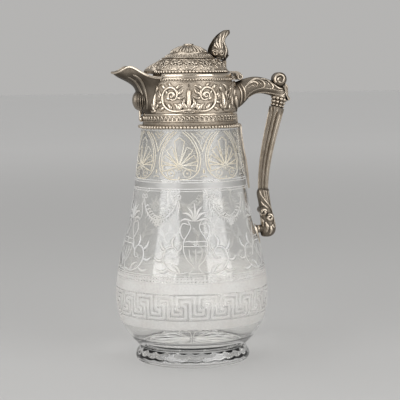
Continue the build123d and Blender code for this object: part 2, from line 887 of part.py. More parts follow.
def handle_volute(arch):
    """Rolled scroll on the shoulder of the handle, with a raised eye on each side."""
    x = handle_reach - volute_setback
    z = arch_top + volute_rise - volute_radius
    scroll = cross_rod(volute_radius, volute_width, x, z)
    scroll = chamfer(scroll.edges().filter_by(GeomType.CIRCLE), volute_edge)
    eye_width = volute_width + 2 * volute_eye_proud
    scroll += cross_rod(volute_radius * volute_eye_share, eye_width, x, z)
    return scroll - arch


# Outer leaf: distance outside the capital's middle, height over the capital's top.
LEAF_OUTSIDE = [(4.0, 11.6), (6.4, 8.2), (6.3, 4.2), (8.7, -1.8)]
LEAF_INSIDE = [(7.2, -3.4), (5.2, 0.0), (3.6, 5.2), (4.0, 11.6)]


def handle_outer_leaf(arch, volute):
    """Leaf down the outside of the handle's shoulder, curling out at its tip."""
    outside = [(handle_reach + x, capital_top + z) for x, z in LEAF_OUTSIDE]
    inside = [(handle_reach + x, capital_top + z) for x, z in LEAF_INSIDE]
    outline = side_face(Spline(*outside), Line(outside[-1], inside[0]), Spline(*inside))
    half = outer_leaf_width / 2
    return across(outline, -half, half) - arch - volute


def lean_point(distance):
    """Point down the leaning axis from the capital's top."""
    size = (LEAN[0] ** 2 + LEAN[1] ** 2) ** 0.5
    return (
        handle_reach + distance * LEAN[0] / size,
        capital_top + distance * LEAN[1] / size,
    )


def lean_plane(distance):
    """Plane across the leaning axis, facing down along it."""
    x, z = lean_point(distance)
    return Plane(origin=(x, 0, z), x_dir=(-LEAN[1], 0, LEAN[0]), z_dir=(LEAN[0], 0, LEAN[1]))


def bead_capital(arch, leaf):
    """Three stacked rings between the arch and the column."""
    step = capital_height / len(RING_SHARES)
    hub = capital_radius * 0.7
    edges = [Line((0, -step), (hub, -step)), Line((hub, -step), (hub, 0))]
    inner = hub
    for number, radius_share in enumerate(RING_SHARES):
        radius = capital_radius * radius_share
        shoulder = radius - 0.42 * step
        low = number * step
        high = low + step
        edges.append(Line((inner, low), (shoulder, low)))
        edges.append(ThreePointArc((shoulder, low), (radius, low + step / 2), (shoulder, high)))
        inner = shoulder
    edges.append(Line((inner, capital_height), (0, capital_height)))
    edges.append(Line((0, capital_height), (0, -step)))
    return lean_plane(0) * turned(*edges) - arch - leaf


terminal_x = glass_radius(shoulder_height - terminal_seat_depth) + terminal_standoff
column_top = lean_point(capital_height)
column_foot_z = column_top[1] - column_length


def column_section(x, z, direction, radius):
    """Fluted section across the column."""
    angle = radians(direction)
    plane = Plane(
        origin=(x, 0, z),
        x_dir=(-sin(angle), 0, cos(angle)),
        z_dir=(cos(angle), 0, sin(angle)),
    )
    scale_down = radius / column_top_radius
    shape = Circle(radius)
    for spot in PolarLocations(radius * flute_seat, flute_count):
        shape -= spot * Circle(flute_radius * scale_down)
    return plane * shape


def handle_column():
    """Bowed fluted column, thinner towards its foot."""
    path = Spline(
        column_top,
        (terminal_x, column_foot_z),
        tangents=[(LEAN[0], LEAN[1]), (0.0, -1.0)],
    )
    sections = []
    stations = 5
    for station in range(stations):
        share = station / (stations - 1)
        spot = path @ share
        heading = path % share
        direction = -90.0 + degrees(heading.X / -heading.Y)
        radius = column_foot_radius + (column_top_radius - column_foot_radius) * (
            1 - share
        ) ** 1.1
        sections.append(column_section(spot.X, spot.Y, direction, radius))
    return loft(sections)


# Terminal: drop below the column's foot as a share of its length, shift away from the
# glass, and its half depth and half width as shares of its radius.
TERMINAL_STATIONS = [
    (0.00, 0.0, 0.78, 0.80),
    (0.26, 0.9, 0.86, 0.88),
    (0.48, 2.2, 0.90, 0.96),
    (0.67, 3.7, 1.00, 1.05),
    (0.82, 4.2, 1.06, 1.05),
    (0.92, 3.6, 0.99, 0.90),
    (1.00, 2.4, 0.45, 0.42),
]
# Its two pairs of scrolls: shift away from the glass, drop as a share of its length.
TERMINAL_SCROLLS = [(-1.0, 0.44), (4.4, 0.56)]


def handle_terminal():
    """Scrolled foot of the handle with a boss that bears on the leaf plate."""
    sections = []
    for drop, shift, depth_share, width_share in TERMINAL_STATIONS:
        oval = Ellipse(terminal_radius * depth_share, terminal_radius * width_share)
        height = column_foot_z - drop * terminal_length
        sections.append(Pos(terminal_x + shift, 0, height) * oval)
    body = loft(sections)
    boss = Pos(terminal_x, 0, column_foot_z - terminal_boss_drop) * Rot(0, 90, 0) * Cylinder(
        terminal_boss_radius,
        2 * terminal_standoff,
        align=(Align.CENTER, Align.CENTER, Align.MAX),
    )
    body += boss
    for shift, drop in TERMINAL_SCROLLS:
        height = column_foot_z - drop * terminal_length
        body += cross_rod(
            terminal_scroll_radius, terminal_scroll_width, terminal_x + shift, height
        )
    return body - glass_blank(leaf_plate_sheet)


def glass_skin(gap, sheet_thickness, extra_height):
    """Layer that follows the upper glass at a gap, carried on above the shoulder."""
    layers = []
    for offset in (gap + sheet_thickness, gap):
        top = Pos(0, 0, shoulder_height) * Cylinder(
            shoulder_radius + offset,
            extra_height,
            align=(Align.CENTER, Align.CENTER, Align.MIN),
        )
        layers.append(glass_blank(offset) + top)
    return layers[0] - layers[1]


def tongue_prism(top, length, width, top_share):
    """Pointed leaf outline, run out along +X."""
    half = width / 2
    tip_half = 0.5
    foot = top - length
    wide = top - 0.35 * length
    edges = [
        Line((-half * top_share, top), (half * top_share, top)),
        Spline((half * top_share, top), (half, wide), (tip_half, foot)),
        Line((tip_half, foot), (-tip_half, foot)),
        Spline((-tip_half, foot), (-half, wide), (-half * top_share, top)),
    ]
    outline = make_face([Plane.YZ * edge for edge in edges])
    return extrude(outline, amount=FAR, dir=(1, 0, 0))


def terminal_leaf_plate():
    """Leaf of sheet on the glass that the terminal bears on."""
    top = column_foot_z - leaf_plate_drop
    leaf = tongue_prism(top, leaf_plate_length, leaf_plate_width, 0.6)
    return (glass_blank(leaf_plate_sheet) - glass_blank(0.0)) & leaf


def back_lappet(beads):
    """Long pointed tongue that hangs from the beaded ring under the handle."""
    top = shoulder_height + bead_ring_radius
    leaf = tongue_prism(top, lappet_length + bead_ring_radius, lappet_width, 0.9)
    return (glass_skin(lappet_gap, lappet_sheet, bead_ring_radius) & leaf) - beads


def build_parts():
    """All sub-parts by node name."""
    outer_spout = spout_blank(0.0)
    inner_spout = spout_blank(spout_sheet)
    lip_cut = above_lip()
    wire = lip_wire()
    spout = outer_spout - inner_spout - lip_cut - collar_blank() - wire
    collar = mount_collar(inner_spout) - wire
    leaf_band = applied_band(band_foot, wire_foot, leaf_band_proud) - outer_spout
    wire_band = applied_band(wire_foot, frieze_foot, wire_band_proud) - outer_spout
    frieze = frieze_band(frieze_foot, dots_foot, frieze_proud) - outer_spout
    dots = applied_band(dots_foot, rim_foot, dot_band_proud) - outer_spout - wire
    rim = rim_moulding() - outer_spout - wire
    arch = handle_arch()
    volute = handle_volute(arch)
    beads = bead_rim()
    boss = spout_boss() - outer_spout
    drop = spout_drop() - collar_blank() - leaf_band - wire_band - outer_spout - boss
    column = handle_column()
    lid_beads = lid_bead_rim()
    ornament = lid_ornament_band()
    outer_leaf = handle_outer_leaf(arch, volute)
    return {
        "glass_body": glass_body(),
        "neck_cement": neck_cement(),
        "mount_collar": collar,
        "collar_bead_rim": beads,
        "collar_leaf_band": leaf_band,
        "collar_wire_band": wire_band,
        "collar_frieze": frieze,
        "collar_dot_band": dots,
        "rim_moulding": rim,
        "spout": spout,
        "lip_wire": wire,
        "spout_boss": boss,
        "spout_drop": drop,
        "hinge_lug": hinge_lug([dots, rim]),
        "hinge_pin": hinge_pin(),
        "handle_root_plate": handle_root_plate(),
        "handle_drop_bar": handle_drop_bar([leaf_band, wire_band]),
        "handle_arch": arch,
        "handle_volute": volute,
        "handle_outer_leaf": outer_leaf,
        "bead_capital": bead_capital(arch, outer_leaf) - column,
        "handle_column": column,
        "handle_terminal": handle_terminal() - column,
        "terminal_leaf_plate": terminal_leaf_plate(),
        "back_lappet": back_lappet(beads),
        "lid_shell": lid_shell(),
        "lid_beak": lid_beak(),
        "lid_bead_rim": lid_beads,
        "lid_bezel": lid_bezel(),
        "lid_ornament_band": ornament,
        "lid_fluted_cap": lid_fluted_cap(),
        "lid_button": lid_button(),
        "hinge_strap": hinge_strap(lid_beads),
        "thumb_stem": thumb_stem(),
        "thumbpiece": thumbpiece() - ornament,
    }


os.makedirs("parts", exist_ok=True)
for name, shape in build_parts().items():
    export_step(shape, f"parts/{name}.step")
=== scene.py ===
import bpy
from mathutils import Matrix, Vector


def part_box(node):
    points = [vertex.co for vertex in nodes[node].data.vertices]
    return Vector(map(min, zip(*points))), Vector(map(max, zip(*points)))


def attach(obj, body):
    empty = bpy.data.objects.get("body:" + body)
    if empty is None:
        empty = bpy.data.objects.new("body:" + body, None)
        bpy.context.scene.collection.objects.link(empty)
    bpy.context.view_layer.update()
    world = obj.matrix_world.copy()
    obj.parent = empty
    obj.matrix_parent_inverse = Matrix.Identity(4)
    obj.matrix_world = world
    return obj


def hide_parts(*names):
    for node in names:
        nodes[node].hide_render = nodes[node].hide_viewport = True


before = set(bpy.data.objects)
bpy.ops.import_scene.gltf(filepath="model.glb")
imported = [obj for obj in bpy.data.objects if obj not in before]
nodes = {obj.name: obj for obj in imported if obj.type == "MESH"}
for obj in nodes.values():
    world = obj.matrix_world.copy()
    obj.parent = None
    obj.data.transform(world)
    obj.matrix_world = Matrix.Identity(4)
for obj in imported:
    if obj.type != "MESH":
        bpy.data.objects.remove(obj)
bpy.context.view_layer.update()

# %% [markdown]
# # A claret jug in cut glass and silver
# The jug is a blown glass body with etched bands, held in a chased silver collar. The collar
# carries a spout and a cast handle, and a hinged lid with a palmette thumbpiece closes it.
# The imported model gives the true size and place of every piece. Each cell below dresses one
# piece, so the cells can be read and run in order.

# %% Tools and measures
from math import atan2, cos, hypot, pi, radians, sin

import bmesh
import bpy
from mathutils import Matrix, Vector
from mathutils.bvhtree import BVHTree

MM = 0.001
print("pieces in the frame:", len(nodes))


def deselect():
    """Leave nothing selected, because an operator acts on all that is."""
    if bpy.context.object and bpy.context.object.mode != "OBJECT":
        bpy.ops.object.mode_set(mode="OBJECT")
    bpy.ops.object.select_all(action="DESELECT")


def pick(*objects):
    """Select these objects, with the first one active."""
    deselect()
    for obj in objects:
        obj.select_set(True)
    bpy.context.view_layer.objects.active = objects[0]


# %% [markdown]
# ## Camera
# The jug is seen from a little above its shoulder, turned so that the spout comes forward.
# A long lens keeps the foot and the lid close to their true proportions. The camera is placed
# at given coordinates instead of tracking an object, so that nothing in the scene can shift the view.

# %% Camera
TURN = radians(10.0)  # how far the spout is turned towards the viewer
PITCH = radians(5.347)
ROLL = radians(-0.74)
CAMERA_SIDE = 8.03 * MM
CAMERA_BACK = 1182.1 * MM
CAMERA_HEIGHT = 246.5 * MM

bpy.ops.object.camera_add()
camera = bpy.context.object
camera.name = "viewpoint"
camera.data.lens = 125.0
camera.data.sensor_width = 36.0
camera.data.clip_start = 0.05
camera.data.clip_end = 60.0
camera.location = (
    CAMERA_SIDE * cos(TURN) - CAMERA_BACK * sin(TURN),
    -CAMERA_BACK * cos(TURN) - CAMERA_SIDE * sin(TURN),
    CAMERA_HEIGHT,
)
heading = Vector((sin(TURN) * cos(PITCH), cos(TURN) * cos(PITCH), -sin(PITCH)))
aim = heading.to_track_quat("-Z", "Y").to_matrix() @ Matrix.Rotation(ROLL, 3, "Z")
camera.rotation_euler = aim.to_euler()
bpy.context.scene.camera = camera
bpy.context.scene.view_settings.view_transform = "Standard"
print("camera at", [round(value, 3) for value in camera.location])


def facing(degrees_right):
    """Angle round the jug of a place that lies this far right of the one facing the viewer."""
    return radians(degrees_right - 90.0) - TURN


# %% [markdown]
# ## Shader sums
# A finish is easier to read as a sum than as a web of nodes. One small class wraps a socket
# and turns + - * into Math nodes. Any other node comes from the method `node`, and colours
# are mixed by `blend`, because a Math node would turn them grey.

# %% Shader sums
class Strand:
    """One socket of a finish, which can be added, subtracted and multiplied like a number."""

    def __init__(self, tree, socket=None):
        self.tree = tree
        self.socket = socket

    def node(self, kind, settings=None, output=0, **values):
        """Add a node, set it up, feed its sockets and hand back one of its outputs.
        A socket is named, or numbered as in i0."""
        made = self.tree.nodes.new(kind)
        for name, value in (settings or {}).items():
            setattr(made, name, value)
        for name, value in values.items():
            key = int(name[1:]) if name[0] == "i" and name[1:].isdigit() else name
            socket = made.inputs[key.replace("_", " ") if isinstance(key, str) else key]
            if isinstance(value, Strand):
                self.tree.links.new(value.socket, socket)
            else:
                socket.default_value = value
        return Strand(self.tree, made.outputs[output])

    def work_out(self, operation, first, second):
        """Add the Math node that does one sum."""
        return self.node("ShaderNodeMath", {"operation": operation}, i0=first, i1=second)

    def __add__(self, other):
        return self.work_out("ADD", self, other)

    def __sub__(self, other):
        return self.work_out("SUBTRACT", self, other)

    def __rsub__(self, other):
        return self.work_out("SUBTRACT", other, self)

    def __mul__(self, other):
        return self.work_out("MULTIPLY", self, other)

    __radd__ = __add__
    __rmul__ = __mul__

    def ramp(self, low, high, start=0.0, end=1.0):
        """Spread a range of this value over another range, smoothly and clamped."""
        return self.node(
            "ShaderNodeMapRange", {"interpolation_type": "SMOOTHSTEP"}, Value=self,
            From_Min=low, From_Max=high, To_Min=start, To_Max=end,
        )

    def blend(self, first, second):
        """Mix two colours by this value."""
        first, second = [colour if isinstance(colour, Strand) else (*colour, 1.0)
                         for colour in (first, second)]
        return self.node("ShaderNodeMix", {"data_type": "RGBA"}, output=2, i0=self, i6=first,
                         i7=second)


def finish(name, shade):
    """Make a material: `shade` is given the first strand and the Principled shader."""
    material = bpy.data.materials.new(name)
    material.use_nodes = True
    tree = material.node_tree
    surface = tree.nodes["Principled BSDF"]
    shade(Strand(tree), surface)
    return material


def feed(surface, name, value):
    """Join a strand to a socket of the Principled shader, or set a plain value."""
    if isinstance(value, Strand):
        value.tree.links.new(value.socket, surface.inputs[name])
    else:
        surface.inputs[name].default_value = value


def grain(strand, size, detail=3.0, roughness=0.6):
    """Noise on the piece's own coordinates, with a feature size in millimetres."""
    place = strand.node("ShaderNodeTexCoord", output=3)
    return strand.node(
        "ShaderNodeTexNoise", Vector=place, Scale=1.0 / (size * MM), Detail=detail,
        Roughness=roughness,
    )


def crevice(strand, reach):
    """0 in the open and 1 deep in a hollow, found within a reach in millimetres."""
    open_sky = strand.node(
        "ShaderNodeAmbientOcclusion", {"samples": 6}, output=1, Distance=reach * MM
    )
    return 1.0 - open_sky


# %% [markdown]
# ## Silver
# Sterling silver is warm and bright where hands and cloth reach, and sulphide darkens the
# hollows to a brown grey. The dark in the hollows here is partly that tarnish and partly
# painted shade, deeper than the tarnish alone. Dark hollows could be painted by hand. Here they
# follow an occlusion reading instead, so that they lie wherever the relief is deep, and fine
# noise breaks up the polish. Eight finishes share the recipe. They differ in polish, in the
# depth of the hollows' dark, and in a thin brown film over the whole piece. The film is partly
# tarnish and partly painted shade, and it darkens some parts more than others.

# %% Silver
SILVER_BRIGHT = (0.70, 0.61, 0.50)
SILVER_WARM = (0.50, 0.415, 0.32)
# the darkest colour: tarnish deepened into painted shade, for the hollows and the film
SILVER_DARK = (0.035, 0.026, 0.018)
FILM_THINNEST = 0.85  # the film's thinnest places, as a share of its thickest
MATTING_DEPTH = 0.2 * MM


def silver(reach, depth, roughness, cloud=0.25, bump=0.0, tarnish_and_shade_film=0.0):
    """Recipe for silver: how far hollows reach, how dark they go and how matt it is.
    The last argument leaves a thin brown film all over: partly tarnish, partly painted shade."""

    def shade(strand, surface):
        patches = grain(strand, 9.0).ramp(0.40, 0.75, 0.0, cloud)
        # painted shade: occlusion darkens the hollows, partly as sulphide tarnish and partly as shade
        hollow_tarnish_and_shade = crevice(strand, reach).ramp(0.08, 0.55, 0.0, depth)
        worn = grain(strand, 0.9, detail=4.0)
        tint = patches.blend(SILVER_BRIGHT, SILVER_WARM)
        tarnish_and_shade = hollow_tarnish_and_shade * worn.ramp(0.2, 0.6, 0.75, 1.0)
        # painted shade: a brown film darkens the whole piece, partly as tarnish and partly as shade
        if tarnish_and_shade_film:
            film = grain(strand, 16.0, detail=5.0).ramp(0.25, 0.75, tarnish_and_shade_film * FILM_THINNEST, tarnish_and_shade_film)
            tarnish_and_shade = film + tarnish_and_shade * (1.0 - film)
        feed(surface, "Base Color", tarnish_and_shade.blend(tint, SILVER_DARK))
        feed(surface, "Metallic", 1.0)
        feed(surface, "Roughness", worn.ramp(0.3, 0.7, roughness, roughness + 0.10) + tarnish_and_shade * 0.25)
        if bump:
            fine = grain(strand, 0.7, detail=2.0)
            feed(surface, "Normal", strand.node(
                "ShaderNodeBump", Height=fine, Strength=bump, Distance=MATTING_DEPTH
            ))

    return shade


# the finishes differ in how much tarnish and painted shade darken their hollows and their film
silver_plain = finish("silver_polished", silver(3.0, 0.9, 0.16, cloud=0.4))
silver_chased = finish("silver_chased", silver(3.0, 0.97, 0.20, cloud=0.6))
silver_ground = finish(
    "silver_matted_ground", silver(4.0, 0.97, 0.36, cloud=1.0, bump=1.0, tarnish_and_shade_film=0.38)
)
silver_fresh = finish("silver_fresh", silver(1.8, 0.8, 0.20, cloud=0.4))
silver_brown = finish("silver_brown", silver(3.0, 0.97, 0.19, cloud=1.0, tarnish_and_shade_film=0.55))
silver_dusky = finish("silver_dusky", silver(4.0, 0.97, 0.24, cloud=1.0, tarnish_and_shade_film=0.82))
silver_matt = finish("silver_matt", silver(2.0, 0.7, 0.34, cloud=0.8, bump=1.0, tarnish_and_shade_film=0.15))
silver_heavy_tarnish_and_shade = finish("silver_heavy_tarnish_and_shade", silver(5.0, 0.9, 0.22, cloud=1.0, tarnish_and_shade_film=0.93))
print("silver finishes:", [material.name for material in (
    silver_plain, silver_chased, silver_ground, silver_fresh, silver_brown, silver_dusky,
    silver_matt, silver_heavy_tarnish_and_shade,
)])

# %% [markdown]
# ## Glass and etching
# The glass is clear lead crystal with the faintest warm tint. Acid etching leaves a fine white
# bloom that scatters light. A rougher glass alone would show too little of it, so the etched
# lines are thin white strokes on the surface, and only the bands behind them are softly
# frosted by a rougher surface between measured heights.

# %% Glass and etching
def height_mask(strand, low, high, soft):
    """1 between two heights in millimetres, 0 outside them."""
    place = strand.node("ShaderNodeTexCoord", output=3)
    height = strand.node("ShaderNodeSeparateXYZ", output=2, Vector=place)
    above = height.ramp((low - soft) * MM, (low + soft) * MM)
    below = height.ramp((high - soft) * MM, (high + soft) * MM, 1.0, 0.0)
    return above * below


FROSTED = [  # lowest and highest place, softness of the edge, and roughness of each band
    (157.4, 199.0, 0.3, 0.30),
    (149.4, 154.4, 0.3, 0.35),
    (80.0, 146.0, 6.0, 0.10),
]
POLISHED_GLASS = 0.012
LEAD_GLASS_IOR = 1.52


def crystal(strand, surface):
    """Clear glass, with its frosted bands."""
    frost = 0.0
    for low, high, soft, rough in FROSTED:
        frost = height_mask(strand, low, high, soft) * rough + frost
    cloud = grain(strand, 14.0).ramp(0.35, 0.7, 0.75, 1.0)
    feed(surface, "Roughness", frost * cloud + POLISHED_GLASS)
    feed(surface, "Base Color", grain(strand, 60.0).ramp(0.3, 0.7).blend(
        (0.985, 0.98, 0.97), (0.965, 0.965, 0.955)
    ))
    feed(surface, "Transmission Weight", 1.0)
    feed(surface, "IOR", LEAD_GLASS_IOR)


def etched(white, cream, cover):
    """Recipe for acid-etched white: its two tints and how much of the glass it hides."""

    def shade(strand, surface):
        bloom = grain(strand, 1.4, detail=4.0)
        warm = grain(strand, 22.0).ramp(0.35, 0.65)
        feed(surface, "Base Color", warm.blend(white, cream))
        feed(surface, "Roughness", bloom.ramp(0.3, 0.7, 0.5, 0.75))
        feed(surface, "Alpha", bloom.ramp(0.25, 0.7, cover * 0.8, cover))

    return shade


glass_clear = finish("crystal", crystal)
etched_line = finish("etched_line", etched((0.94, 0.90, 0.80), (0.88, 0.79, 0.62), 0.95))
etched_scene = finish("etched_scene", etched((0.90, 0.90, 0.89), (0.88, 0.86, 0.82), 0.55))
etched_frost = finish("etched_frost", etched((0.84, 0.83, 0.81), (0.79, 0.765, 0.735), 0.46))


def plaster_white(strand, surface):
    """The cement that holds the neck in the collar."""
    feed(surface, "Base Color", grain(strand, 2.0).ramp(0.3, 0.7).blend(
        (0.80, 0.77, 0.70), (0.70, 0.66, 0.58)
    ))
    feed(surface, "Roughness", 0.85)


plaster = finish("plaster", plaster_white)
print("glass finishes:", [material.name for material in (
    glass_clear, etched_line, etched_scene, etched_frost, plaster,
)])

# %% [markdown]
# ## Studio
# Silver shows what stands round it, so the studio is kept plain. A wide pale floor runs off to
# the horizon, where it meets a world of nearly the same grey. A broad sun stands for a ceiling
# of soft light, because a lamp would light the near floor more than the far floor. Two large
# soft lamps left and right in front give silver the long reflections that show its shape.
# The lamps are weak enough for white to stay below clipping.

# %% Studio
FLOOR_NEAR = (0.56, 0.555, 0.545)
FLOOR_FAR = (0.80, 0.795, 0.785)
HORIZON_GREY = (0.46, 0.455, 0.447)
CEILING_GREY = (0.24, 0.24, 0.24)
FLOOR_RADIUS = 14.0  # metres, as every measure of the studio is
FLOOR_MIDDLE = 2.0


def floor_paint(strand, surface):
    """Pale paint that lightens towards the horizon."""
    place = strand.node("ShaderNodeTexCoord", output=3)
    away = strand.node("ShaderNodeVectorMath", {"operation": "LENGTH"}, output=1, i0=place)
    mottle = grain(strand, 350.0).ramp(0.3, 0.7, 0.98, 1.0)
    feed(surface, "Base Color", (away.ramp(0.5, 3.5) * mottle).blend(FLOOR_NEAR, FLOOR_FAR))
    feed(surface, "Roughness", 0.9)
    feed(surface, "Specular IOR Level", 0.2)


deselect()
bpy.ops.mesh.primitive_circle_add(vertices=64, radius=FLOOR_RADIUS, fill_type="NGON")
floor = bpy.context.object
floor.name = "studio_floor"
bpy.ops.object.mode_set(mode="EDIT")
bpy.ops.mesh.inset(thickness=FLOOR_RADIUS - FLOOR_MIDDLE)
bpy.ops.object.mode_set(mode="OBJECT")
floor.data.materials.append(finish("floor_paint", floor_paint))
print("floor laid, metres across:", 2 * FLOOR_RADIUS)

# %% The world's grey
world = bpy.data.worlds.new("studio_world")
world.use_nodes = True
bpy.context.scene.world = world
sky = Strand(world.node_tree)
aimed = sky.node("ShaderNodeTexCoord", output=0)
up = sky.node("ShaderNodeSeparateXYZ", output=2, Vector=aimed)
background = world.node_tree.nodes["Background"]
shade_of_sky = up.ramp(0.05, 0.6).blend(HORIZON_GREY, CEILING_GREY)
world.node_tree.links.new(shade_of_sky.socket, background.inputs["Color"])
background.inputs["Strength"].default_value = 1.0
print("world:", world.name)

# %% Lamps
LAMP_AWAY = 1.9
LAMP_HEIGHT = 0.85
LAMP_SIZE = 1.5
LAMP_AIM = Vector((0.0, 0.0, 0.15))
CEILING_POWER = 0.9
CEILING_SPREAD = radians(64)
CEILING_LEAN = (radians(-4), radians(-10), 0.0)


def lamp(name, degrees_right, power):
    """A large soft lamp that looks at the jug from this far right of the viewer."""
    angle = facing(degrees_right)
    place = Vector((LAMP_AWAY * cos(angle), LAMP_AWAY * sin(angle), LAMP_HEIGHT))
    bpy.ops.object.light_add(type="AREA", location=place)
    light = bpy.context.object
    light.name = name
    light.data.shape = "RECTANGLE"
    light.data.size = LAMP_SIZE
    light.data.size_y = LAMP_SIZE
    light.data.energy = power
    light.rotation_euler = (LAMP_AIM - place).to_track_quat("-Z", "Y").to_euler()


lamp("soft_left", -42.0, 23.0)
lamp("soft_right", 46.0, 20.0)
bpy.ops.object.light_add(type="SUN", location=(-0.4, -0.6, 2.4), rotation=CEILING_LEAN)
ceiling = bpy.context.object
ceiling.name = "soft_ceiling"
ceiling.data.energy = CEILING_POWER
ceiling.data.angle = CEILING_SPREAD

# %% [markdown]
# ## Turning, strokes and wrapping
# Three ways of working make nearly every piece. Round pieces are turned: an outline is spun
# about the jug's axis. Ornament is drawn flat with strokes, which are bevelled curves that
# swell and taper like a chaser's tool marks. The flat drawing is then wrapped round a turned
# surface or laid on a cast one, so that a leaf keeps its relief wherever it goes. A few small
# helpers for what all of them do come first.

# %% Raw meshes
def new_piece(name, mesh):
    """Put a mesh, or a curve, into the scene as an object at the origin."""
    piece = bpy.data.objects.new(name, mesh)
    bpy.context.scene.collection.objects.link(piece)
    return piece


def raw_piece(name, points, edges, faces):
    """A new piece from its points, edges and faces."""
    mesh = bpy.data.meshes.new(name)
    mesh.from_pydata(points, edges, faces)
    return new_piece(name, mesh)


def twin_of(piece, change):
    """A copy of a piece with its own mesh, moved by a matrix."""
    twin = new_piece(piece.name, piece.data.copy())
    twin.data.transform(change)
    return twin


def open_whole(piece):
    """Open a piece in edit mode with all of it selected."""
    pick(piece)
    bpy.ops.object.mode_set(mode="EDIT")
    bpy.ops.mesh.select_all(action="SELECT")


def close_outward():
    """Turn the faces of the open piece outwards and leave edit mode."""
    bpy.ops.mesh.normals_make_consistent(inside=False)
    bpy.ops.object.mode_set(mode="OBJECT")


def settle(piece):
    """Put a piece's place into its mesh, so that its object sits at the origin."""
    piece.data.transform(piece.matrix_world)
    piece.matrix_world = Matrix.Identity(4)


def thicken(piece, wall, offset):
    """Give a sheet a wall in millimetres: both ways at an offset of 0, inwards at -1."""
    pick(piece)
    solidify = piece.modifiers.new("wall", "SOLIDIFY")
    solidify.thickness = wall * MM
    solidify.offset = offset
    bpy.ops.object.modifier_apply(modifier=solidify.name)


# %% Turning
WELD = 0.002 * MM  # points closer than this become one
CRISP_ANGLE = radians(38)  # a turned edge sharper than this stays crisp


def turn(name, outline, steps=192):
    """Spin an outline of (radius, height) in millimetres about the jug's axis."""
    corners = [(radius * MM, 0.0, height * MM) for radius, height in outline]
    piece = raw_piece(name, corners, [(i, i + 1) for i in range(len(corners) - 1)], [])
    open_whole(piece)
    bpy.ops.mesh.spin(steps=steps, angle=2 * pi, center=(0, 0, 0), axis=(0, 0, 1))
    bpy.ops.mesh.select_all(action="SELECT")
    bpy.ops.mesh.remove_doubles(threshold=WELD)
    close_outward()
    bpy.ops.object.shade_smooth_by_angle(angle=CRISP_ANGLE)
    return piece


def arc(radius, height, half, start, end, step):
    """Outline of a round wire between two angles, with a corner every few degrees."""
    return [(radius + half * cos(radians(turned)), height + half * sin(radians(turned)))
            for turned in range(start, end + 1, step)]


def smooth_outline(points, per_span=8):
    """Run a smooth curve through a few places of an outline."""
    made = []
    last = len(points) - 1
    for index in range(last):
        before = points[max(index - 1, 0)]
        start, end = points[index], points[index + 1]
        after = points[min(index + 2, last)]
        for step in range(per_span):
            t = step / per_span
            made.append(tuple(
                0.5 * (2 * b + (c - a) * t + (2 * a - 5 * b + 4 * c - d) * t * t
                       + (3 * b - a - 3 * c + d) * t ** 3)
                for a, b, c, d in zip(before, start, end, after)
            ))
    made.append(tuple(points[-1]))
    return made


def coat(piece, material):
    """Give a piece one finish all over."""
    piece.data.materials.clear()
    piece.data.materials.append(material)


def dress(piece, body, material, slot, *stands_for):
    """Give a finished piece its body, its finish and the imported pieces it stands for."""
    coat(piece, material)
    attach(piece, body)
    if stands_for:
        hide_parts(*stands_for)
    print(piece.name, "faces", len(piece.data.polygons))


# %% Strokes
def strokes(name, lines, relief=0.8, roundness=2):
    """Raised strokes drawn flat. Each line is (points, half widths) in millimetres."""
    curve = bpy.data.curves.new(name, "CURVE")
    curve.dimensions = "3D"
    curve.twist_mode = "Z_UP"
    curve.bevel_depth = 1.0
    curve.bevel_resolution = roundness
    curve.use_fill_caps = True
    for points, widths in lines:
        spline = curve.splines.new("POLY")
        spline.points.add(len(points) - 1)
        for index, (point, spot) in enumerate(zip(points, spline.points)):
            spot.co = (point[0], point[1], 0.0, 1.0)
            share = index / max(len(points) - 1, 1) * (len(widths) - 1)
            low = min(int(share), len(widths) - 2)
            spot.radius = widths[low] + (widths[low + 1] - widths[low]) * (share - low)
    pick(new_piece(name, curve))
    bpy.ops.object.convert(target="MESH")
    piece = bpy.context.object
    for vertex in piece.data.vertices:
        vertex.co.z *= relief
    return piece


def sweep(points, per_span=5):
    """Smooth a drawn line."""
    return smooth_outline(points, per_span)


def coil(middle, start_radius, end_radius, start_degrees, turns, steps=26):
    """Points of a scroll that winds in towards its middle; negative turns wind clockwise."""
    made = []
    for step in range(steps + 1):
        share = step / steps
        angle = radians(start_degrees) + 2 * pi * turns * share
        radius = start_radius + (end_radius - start_radius) * share
        made.append((middle[0] + radius * cos(angle), middle[1] + radius * sin(angle)))
    return made


def mirrored(lines):
    """The same lines and their reflections in the upright axis."""
    return lines + [([(-x, y) for x, y in points], widths) for points, widths in lines]


def leaf(start, bend, tip, width):
    """A pointed leaf with a swelling middle."""
    return sweep([start, bend, tip], 6), [width * 0.35, width * 0.95, width, width * 0.6, 0.12]


# %% Wrapping
def wrap(piece, surface, middle, at_radius):
    """Bend a flat drawing round the jug. `surface` gives (radius, height, lean) at a height."""
    for vertex in piece.data.vertices:
        across, along, proud = vertex.co
        radius, height, lean = surface(along)
        angle = middle + across / at_radius
        out = radius + proud * cos(lean)
        vertex.co = (
            out * cos(angle) * MM, out * sin(angle) * MM, (height + proud * sin(lean)) * MM
        )
    piece.data.update()
    return piece


def join(name, *pieces):
    """Join pieces into one mesh."""
    pick(*pieces)
    if len(pieces) > 1:
        bpy.ops.object.join()
    joined = bpy.context.object
    joined.name = name
    joined.data.name = name
    bpy.ops.object.shade_smooth()
    return joined


def ring_of(name, pattern, count, start=0.0):
    """Copy one piece round the jug's axis and join the copies."""
    copies = [twin_of(pattern, Matrix.Rotation(2 * pi * number / count, 4, "Z"))
              for number in range(1, count)]
    ring = join(name, pattern, *copies)
    ring.data.transform(Matrix.Rotation(start, 4, "Z"))
    return ring


NEAR_SIDE = Vector((0, -1, 0))  # towards whoever looks at the jug with its spout on the left
RAY_START = 0.2  # metres in front of the middle plane, clear of every casting
NEARER = 3e-9  # metres; a stroke that runs past the casting goes to the near side of its edge


